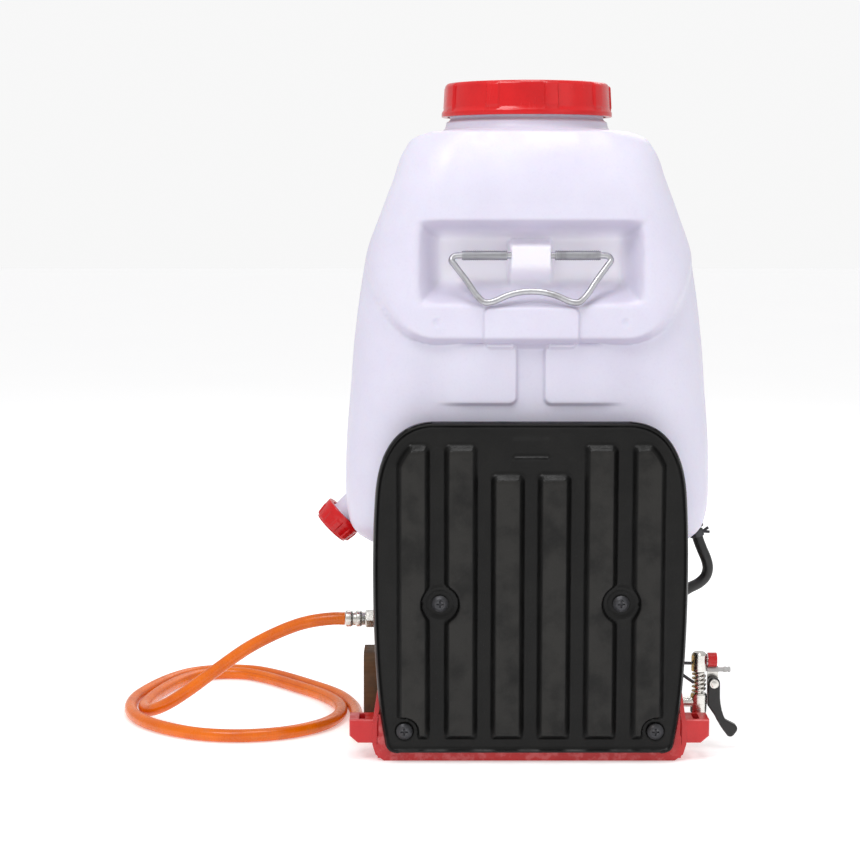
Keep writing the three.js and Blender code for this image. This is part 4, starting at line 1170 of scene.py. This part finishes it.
@dataclass
class Closures:
    """The filler's basket, gasket and cap, and the drain's gasket and cap."""

    cap_low: float = 0.617
    cap_top: float = 0.6495
    cap_radius: float = 0.084

    def build(self) -> None:
        """Makes both closures."""
        tank = Tank()
        height = self.cap_top - self.cap_low
        up = (0.0, 0.0, 1.0)
        ScrewCap("filler_cap", (0.0, 0.0, self.cap_low), up, radius=self.cap_radius - 0.0021,
                 lip=self.cap_radius, height=height, inner=self.cap_radius - 0.0058, ceiling=height - 0.0036,
                 lugs=9, lug_width=0.0135, lug_proud=0.0021, first_lug=math.radians(-16.0)).build()
        ScrewCap("drain_cap", tank.drain_at, tank.drain_way, radius=0.0211, lip=0.0220, height=0.0205,
                 inner=0.0160, ceiling=0.0157, lugs=8, lug_width=0.0062, lug_proud=0.0011).build()
        install(refined("filler_strainer", 0.0005), "filler_strainer")
        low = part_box("filler_gasket")[0].z
        seal = softened([(0.063, 0.0), (0.075, 0.0), (0.075, 0.002), (0.063, 0.002)], 0.0005)
        install(new_piece("filler_gasket_made", ring(seal, (0.0, 0.0, low), up)), "filler_gasket")
        washer = softened([(0.009, 0.0133), (0.015, 0.0133), (0.015, 0.0153), (0.009, 0.0153)], 0.0004)
        drain_seal = ring(washer, tank.drain_at, tank.drain_way)
        install(new_piece("drain_gasket_made", drain_seal), "drain_gasket")


# ---- strap bail ----
@dataclass
class StrapBail:
    """The bent wire bail that takes the shoulder straps, and the sleeves on its two arms."""

    pivot: tuple[float, float] = (-0.105, 0.484)
    lean: float = math.radians(21.0)
    wire: float = 0.003
    sleeve: float = 0.0047
    sleeve_x: tuple[float, float] = (0.0226, 0.0655)
    half: tuple[tuple[float, float], ...] = (
        (0.009, 0.0), (0.030, 0.0), (0.066, 0.0), (0.073, 0.001), (0.0752, 0.005), (0.072, 0.010),
        (0.062, 0.024), (0.0505, 0.041), (0.044, 0.0465), (0.037, 0.046), (0.022, 0.0395), (0.008, 0.0362),
    )

    def build(self) -> None:
        """Makes the wire and its sleeves."""
        right = [self.place(x, down) for x, down in self.half]
        left = [self.place(-x, down) for x, down in reversed(self.half)]
        line = smooth_line([*right, *left], 0.0008)
        install(new_piece("strap_bail_made", tube(line, self.wire, 20)), "strap_bail")
        groove, root = 0.0004, self.sleeve - 0.0004
        ridges = [(self.sleeve - groove * (i % 2), 0.0012 + 0.0009 * i) for i in range(46)]
        bore, long = self.wire + 0.0003, self.sleeve_x[1] - self.sleeve_x[0]
        profile = [(bore, 0.0), (root, 0.0), *ridges, (root, long), (bore, long)]
        for side, name in ((-1.0, "left"), (1.0, "right")):
            shape = ring(profile, self.place(side * self.sleeve_x[0], 0.0), (side, 0.0, 0.0), 32)
            install(new_piece(f"bail_sleeve_{name}_made", shape, 80.0), f"bail_sleeve_{name}")

    def place(self, x: float, down: float) -> Point:
        """A point of the bail, across the tank and down from its pivots along its lean."""
        forward, drop = down * math.sin(self.lean), down * math.cos(self.lean)
        return x, self.pivot[0] - forward, self.pivot[1] - drop


# ---- backrest plate ----
@dataclass
class BackPlate:
    """The black backrest plate: a rolled rim, six drafted ribs and four screw pockets."""

    half: float = 0.1505
    top: float = 0.3285
    low: float = 0.009
    face: float = 0.131
    wall: float = 0.0035
    rim_back: float = 0.1244
    rib_rise: float = 0.007
    rib_half: float = 0.0172
    draft: float = 0.0076
    rib_low: float = 0.020
    ribs: tuple[tuple[float, float], ...] = ((0.022, 0.280), (0.0663, 0.308), (0.1115, 0.308))
    pockets: tuple[tuple[float, float, float], ...] = ((0.086, 0.155, 0.0165), (0.120, 0.031, 0.012))
    roll: float = 0.0031
    roll_in: float = 0.0026
    roll_width: float = 0.0018
    rim_round: float = 0.0024
    rim_drop: float = 0.0040
    rib_corner: float = 0.007
    rib_margin: float = 0.013
    mark: tuple[float, float] = (0.2945, 0.3135)
    mark_half: float = 0.0175

    def build(self) -> None:
        """Makes the plate and its screws."""
        install(new_piece("backrest_plate_made", self.shape(), 80.0), "backrest_plate", BLACK_PLATE)
        for number in range(1, 5):
            install(refined(f"plate_screw_{number}", 0.0005), f"plate_screw_{number}")

    def edge(self) -> np.ndarray:
        """The right half of the outline from the bottom up, evenly spaced: places across and heights."""
        foot = self.half - 0.011
        t = np.linspace(0.0, 1.0, 200)[:, None]
        corner, shoulder = (foot, self.low + 0.014), (self.half - 0.003, 0.258)
        low = self.low
        toe = bezier(t, (foot - 0.014, low), (foot - 0.002, low), (foot - 0.001, low + 0.006), corner)
        side = bezier(t, corner, (self.half - 0.001, 0.070), (self.half + 0.002, 0.190), shoulder)
        head = bezier(t, shoulder, (self.half - 0.006, 0.300), (self.half - 0.022, self.top - 0.002),
                         (0.094, self.top))
        line = np.vstack([toe, side[1:], head[1:]])
        run = np.concatenate([[0.0], np.cumsum(np.linalg.norm(np.diff(line, axis=0), axis=1))])
        even = np.linspace(0.0, run[-1], 200)
        return np.column_stack([np.interp(even, run, line[:, 0]), np.interp(even, run, line[:, 1])])

    def inside(self, x: np.ndarray, z: np.ndarray, edge: np.ndarray) -> np.ndarray:
        """How far each point lies inside the outline."""
        sideways = np.abs(x)[..., None] - edge[:, 0]
        apart = np.sqrt(np.min(sideways**2 + (z[..., None] - edge[:, 1]) ** 2, axis=-1))
        over = np.where(np.abs(x) < edge[-1, 0], self.top - z, 1.0)
        under = np.where(np.abs(x) < edge[0, 0], z - self.low, 1.0)
        return np.minimum(apart, np.minimum(over, under))

    def relief(self, x: np.ndarray, z: np.ndarray, inside: np.ndarray) -> np.ndarray:
        """How far the front stands out past the plate's plain face."""
        rolled = self.roll * np.exp(-(((inside - self.roll_in) / self.roll_width) ** 2))
        outer = np.clip(1.0 - inside / self.rim_round, 0.0, 1.0)
        rise = rolled - self.rim_drop * (1.0 - np.sqrt(1.0 - outer**2 * 0.999))
        across = np.abs(x)
        ribs = np.zeros_like(x)
        for centre, top in self.ribs:
            middle = (centre, (self.rib_low + top) / 2.0)
            size = (self.rib_half, (top - self.rib_low) / 2.0)
            off = rounded_distance(across, z, middle, size, self.rib_corner)
            off = np.maximum(off, self.rib_margin - inside)
            side = np.clip(-off / self.draft, 0.0, 1.0)
            ribs = np.maximum(ribs, self.rib_rise * (0.55 * side + 0.45 * ease(side)))
        for place, height, radius in self.pockets:
            off = np.hypot(across - place, z - height) - radius
            lip = 0.0009 * np.exp(-(((off + 0.0012) / 0.0012) ** 2))
            floor = 0.0010 * ease(-(off + 0.003) / 0.002)
            ribs = ribs * ease(off / 0.003)
            rise = rise + lip - floor
        return rise + ribs + self.marking(across, z)

    def marking(self, across: np.ndarray, z: np.ndarray) -> np.ndarray:
        """The low ledge near the top and the shallow field above it."""
        low, high = self.mark
        narrow = ease((self.mark_half - across) / 0.0015)
        ledge = 0.0018 * np.exp(-(((z - low) / 0.0011) ** 2))
        field_depth = 0.0009 * ease((z - low - 0.001) / 0.001) * ease((high - z) / 0.0015)
        return (ledge - field_depth) * narrow

    def shape(self) -> Shape:
        """The plate as one closed skin: its front, its hollow back and the strip between them."""
        edge = self.edge()
        columns = 230
        share = np.linspace(-1.0, 1.0, columns)
        x = edge[:, :1] * share
        z = np.repeat(edge[:, 1:], columns, axis=1)
        inside = np.vstack([self.inside(x[i : i + 1], z[i : i + 1], edge) for i in range(len(x))])
        front = self.face + self.relief(x, z, inside)
        back = np.where(inside < self.wall, self.rim_back, np.minimum(front - self.wall, front - 0.003))
        rows = len(x)
        skins = [np.stack([x, -depth, z], axis=2).reshape(-1, 3) for depth in (front, back)]
        faces = grid_faces(rows, columns, wrap=False)
        count = rows * columns
        faces += [tuple(count + corner for corner in reversed(face)) for face in faces]
        loop = [*range(columns), *((r + 1) * columns - 1 for r in range(1, rows)),
                *range(count - 2, count - columns - 1, -1), *(r * columns for r in range(rows - 2, 0, -1))]
        faces += [(b, a, a + count, b + count) for a, b in zip(loop, [*loop[1:], loop[0]])]
        return np.vstack(skins), faces


# ---- parts that keep the CAD shape, with rounded edges ----
@dataclass
class Fittings:
    """Parts whose CAD shape is refined, with the bolts that hold them."""

    title: str
    edges: Mapping[str, float]
    finishes: Mapping[str, Finish] = field(default_factory=dict)
    bolts: Mapping[str, tuple[Point, float, tuple[Point, ...]]] = field(default_factory=dict)

    def build(self) -> None:
        """Makes every part and its bolts."""
        for node, edge in self.edges.items():
            install(refined(node, edge), node, self.finishes.get(node))
        for node, (axis, across, places) in self.bolts.items():
            heads = united(*(bolt(place, axis, across, 0.55 * across) for place in places))
            install(new_piece(f"{node}_bolts", heads, 30.0), node, NICKEL, stands=False)


def carrier() -> Fittings:
    """The red tray, the steel carrier on it and the engine bed."""
    mounts = {f"rubber_mount_{number}": 0.0012 for number in range(1, 5)}
    corners = tuple((x, y, 0.022) for x in (-0.1, 0.1) for y in (-0.08, 0.08))
    return Fittings(
        title="carrier",
        edges={
            "base_tray": 0.0014,
            "carrier_upright_left": 0.001,
            "carrier_upright_right": 0.001,
            "tank_shelf": 0.001,
            "engine_bed": 0.0008,
            **mounts,
        },
        finishes={"base_tray": RED_TRAY},
        bolts={"engine_bed": ((0.0, 0.0, 1.0), 0.010, corners)},
    )


def engine() -> Fittings:
    """The two-stroke engine with its cooling, fuel and starting gear."""
    case_bolts = tuple((x, y, 0.1039) for x in (-0.055, 0.009) for y in (0.008, 0.05))
    turns = [math.radians(60.0 * number + 30.0) for number in range(6)]
    cover_bolts = tuple((-0.02 + 0.034 * math.cos(a), 0.1114, 0.066 + 0.034 * math.sin(a)) for a in turns)
    muffler_bolts = tuple((-0.108, -0.0657, height) for height in (0.034, 0.080))
    return Fittings(
        title="engine",
        edges={
            "crankcase": 0.0015,
            "cylinder": 0.0006,
            "piston": 0.0008,
            "cylinder_cowl": 0.001,
            "spark_plug": 0.0005,
            "plug_boot": 0.001,
            "muffler": 0.0015,
            "carburettor": 0.001,
            "air_filter_cover": 0.0016,
            "choke_lever": 0.0005,
            "throttle_arm": 0.0004,
            "fan_housing": 0.001,
            "flywheel_fan": 0.0006,
            "recoil_cover": 0.001,
            "recoil_pulley": 0.0006,
            "recoil_handle": 0.0016,
            "fuel_tank": 0.0018,
            "fuel_cap": 0.001,
        },
        bolts={
            "crankcase": ((0.0, 0.0, 1.0), 0.007, case_bolts),
            "recoil_cover": ((0.0, 1.0, 0.0), 0.006, cover_bolts),
            "muffler": ((0.0, -1.0, 0.0), 0.007, muffler_bolts),
        },
    )


def pump() -> Fittings:
    """The gear case, the plunger pump and what carries the liquid away from it."""
    forward = (0.0, -1.0, 0.0)
    case_bolts = tuple((x, -0.0357, 0.094) for x in (-0.052, 0.010))
    block_bolts = tuple((x, -0.0898, z) for z in (0.055, 0.100) for x in (0.086, 0.114))
    return Fittings(
        title="pump",
        edges={
            "gear_case": 0.0014,
            "clutch_drum": 0.0006,
            "pump_body": 0.0014,
            "pump_plunger": 0.0006,
            "valve_block": 0.0012,
            "hose_clip_upper": 0.0004,
            "hose_clip_lower": 0.0004,
            "tank_outlet": 0.0006,
        },
        bolts={
            "gear_case": (forward, 0.007, case_bolts),
            "valve_block": (forward, 0.009, block_bolts),
        },
    )


@dataclass
class StarterRope:
    """The twisted starter rope, which the grip pulls out of its cover."""

    ends: tuple[float, float] = (0.008, 0.0325)
    at: tuple[float, float] = (0.100, 0.090)
    radius: float = 0.0018
    strands: int = 3
    turns: float = 26.0
    steps: int = 260
    sides: int = 15

    def build(self) -> None:
        """Makes the rope, one end on the cover and the other on the grip."""
        share = np.linspace(0.0, 1.0, self.steps)[:, None]
        angle = np.linspace(0.0, 2.0 * math.pi, self.sides, endpoint=False)[None, :]
        twist = np.cos(self.strands * (angle - 2.0 * math.pi * self.turns * share))
        radius = self.radius * (1.0 - 0.12 * (1.0 + twist))
        start, end = ((x, *self.at) for x in self.ends)
        along = np.broadcast_to(start[0] + share * (end[0] - start[0]), radius.shape)
        across, up = self.at[0] + radius * np.cos(angle), self.at[1] + radius * np.sin(angle)
        points = np.stack([along, across, up], axis=2).reshape(-1, 3)
        first, last = tuple(range(self.sides))[::-1], tuple(range(len(points) - self.sides, len(points)))
        faces = [*grid_faces(self.steps, self.sides), first, last]
        rope = new_piece("starter_rope", (points, faces), 60.0)
        rope.data.materials.append(ROPE.material())
        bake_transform(rope)
        log.info("%s runs from the carrier to the grip", rope.name)


# ---- hoses and pipes ----
@dataclass
class Pipework:
    """The suction hose from the tank, the discharge pipe and the union that the spray hose is crimped on."""

    suction: tuple[Point, ...] = (
        (0.1734, 0.0, 0.2046), (0.1762, 0.0, 0.1947), (0.1804, 0.0, 0.184), (0.1846, 0.0, 0.174),
        (0.1863, 0.0, 0.165), (0.184, 0.0, 0.1565), (0.1775, -0.0005, 0.150), (0.168, -0.0025, 0.1455),
        (0.1575, -0.008, 0.1405), (0.146, -0.0185, 0.1345), (0.1325, -0.033, 0.131), (0.1212, -0.0448, 0.131),
    )
    discharge: tuple[Point, ...] = (
        (-0.0403, -0.064, 0.084), (-0.047, -0.064, 0.084), (-0.060, -0.063, 0.088), (-0.078, -0.058, 0.099),
        (-0.101, -0.042, 0.110), (-0.123, -0.018, 0.113), (-0.137, -0.004, 0.113), (-0.145, 0.0, 0.113),
        (-0.1517, 0.0, 0.113),
    )

    union_at: Point = (-0.152, 0.0, 0.113)

    def build(self) -> None:
        """Makes the pipes and the union."""
        for node, route, radius in (
            ("suction_hose", self.suction, 0.0055),
            ("discharge_pipe", self.discharge, 0.006),
        ):
            install(new_piece(f"{node}_made", tube(smooth_line(route, 0.002), radius)), node)
        self.union()

    def union(self) -> None:
        """Makes the hexagon and the crimped ferrule that hold the spray hose."""
        left = (-1.0, 0.0, 0.0)
        nut = [(0.0, 0.0), (0.0084, 0.0), (0.0094, 0.001), (0.0094, 0.008), (0.0084, 0.009), (0.0, 0.009)]
        ferrule = [(0.0, 0.0088), (0.007, 0.0088), (0.007, 0.013), (0.0083, 0.0138), (0.0083, 0.0178),
                   (0.0070, 0.0188), (0.0070, 0.0222), (0.0083, 0.0232), (0.0083, 0.0284), (0.0072, 0.0297),
                   (0.0, 0.0297)]
        hexagon = turned(nut, self.union_at, left, 6)
        barrel = turned(softened(ferrule, 0.0006), self.union_at, left, 48)
        install(new_piece("hose_union_made", united(hexagon, barrel), 30.0), "hose_union")


@dataclass
class Regulator:
    """The pressure regulator with its spring, knob, bypass spigot, stays and relief lever."""

    post: tuple[float, float] = (0.168, -0.080)
    coil: float = 0.0057
    wire: float = 0.0013
    turns: float = 4.5
    rise: float = 0.00415
    foot: float = 0.0578
    start: float = 2.4

    def build(self) -> None:
        """Makes every piece of the regulator."""
        across, forward = self.post
        turns = np.linspace(0.0, self.turns, 240)
        angle = 2.0 * math.pi * turns + self.start
        x, y = across + self.coil * np.cos(angle), forward + self.coil * np.sin(angle)
        line = np.column_stack([x, y, self.foot + self.rise * turns])
        install(new_piece("regulator_spring_made", tube(line, self.wire, 14)), "regulator_spring")
        edges = {
            "regulator_body": 0.0006,
            "regulator_knob": 0.0007,
            "bypass_spigot": 0.0003,
            "relief_lever": 0.0012,
            "regulator_stay": 0.0003,
        }
        for node, edge in edges.items():
            install(refined(node, edge), node)
        pivot = (across + 0.0145, -0.0854, 0.066)
        rivet = new_piece("lever_rivet", bolt(pivot, (0.0, -1.0, 0.0), 0.006, 0.0016), 30.0)
        install(rivet, "regulator_body", stands=False)


def main() -> None:
    """Builds the sprayer in order."""
    logging.basicConfig(level=logging.INFO, format="%(name)s: %(message)s")
    Studio().build()
    SprayHose().build()
    shell = (Tank(), Closures(), StrapBail(), BackPlate())
    machine = (carrier(), engine(), StarterRope(), pump(), Pipework(), Regulator())
    for part in (*shell, *machine):
        log.info("building %s", getattr(part, "title", type(part).__name__))
        part.build()
    bpy.context.view_layer.update()


if __name__ == "__main__":
    main()
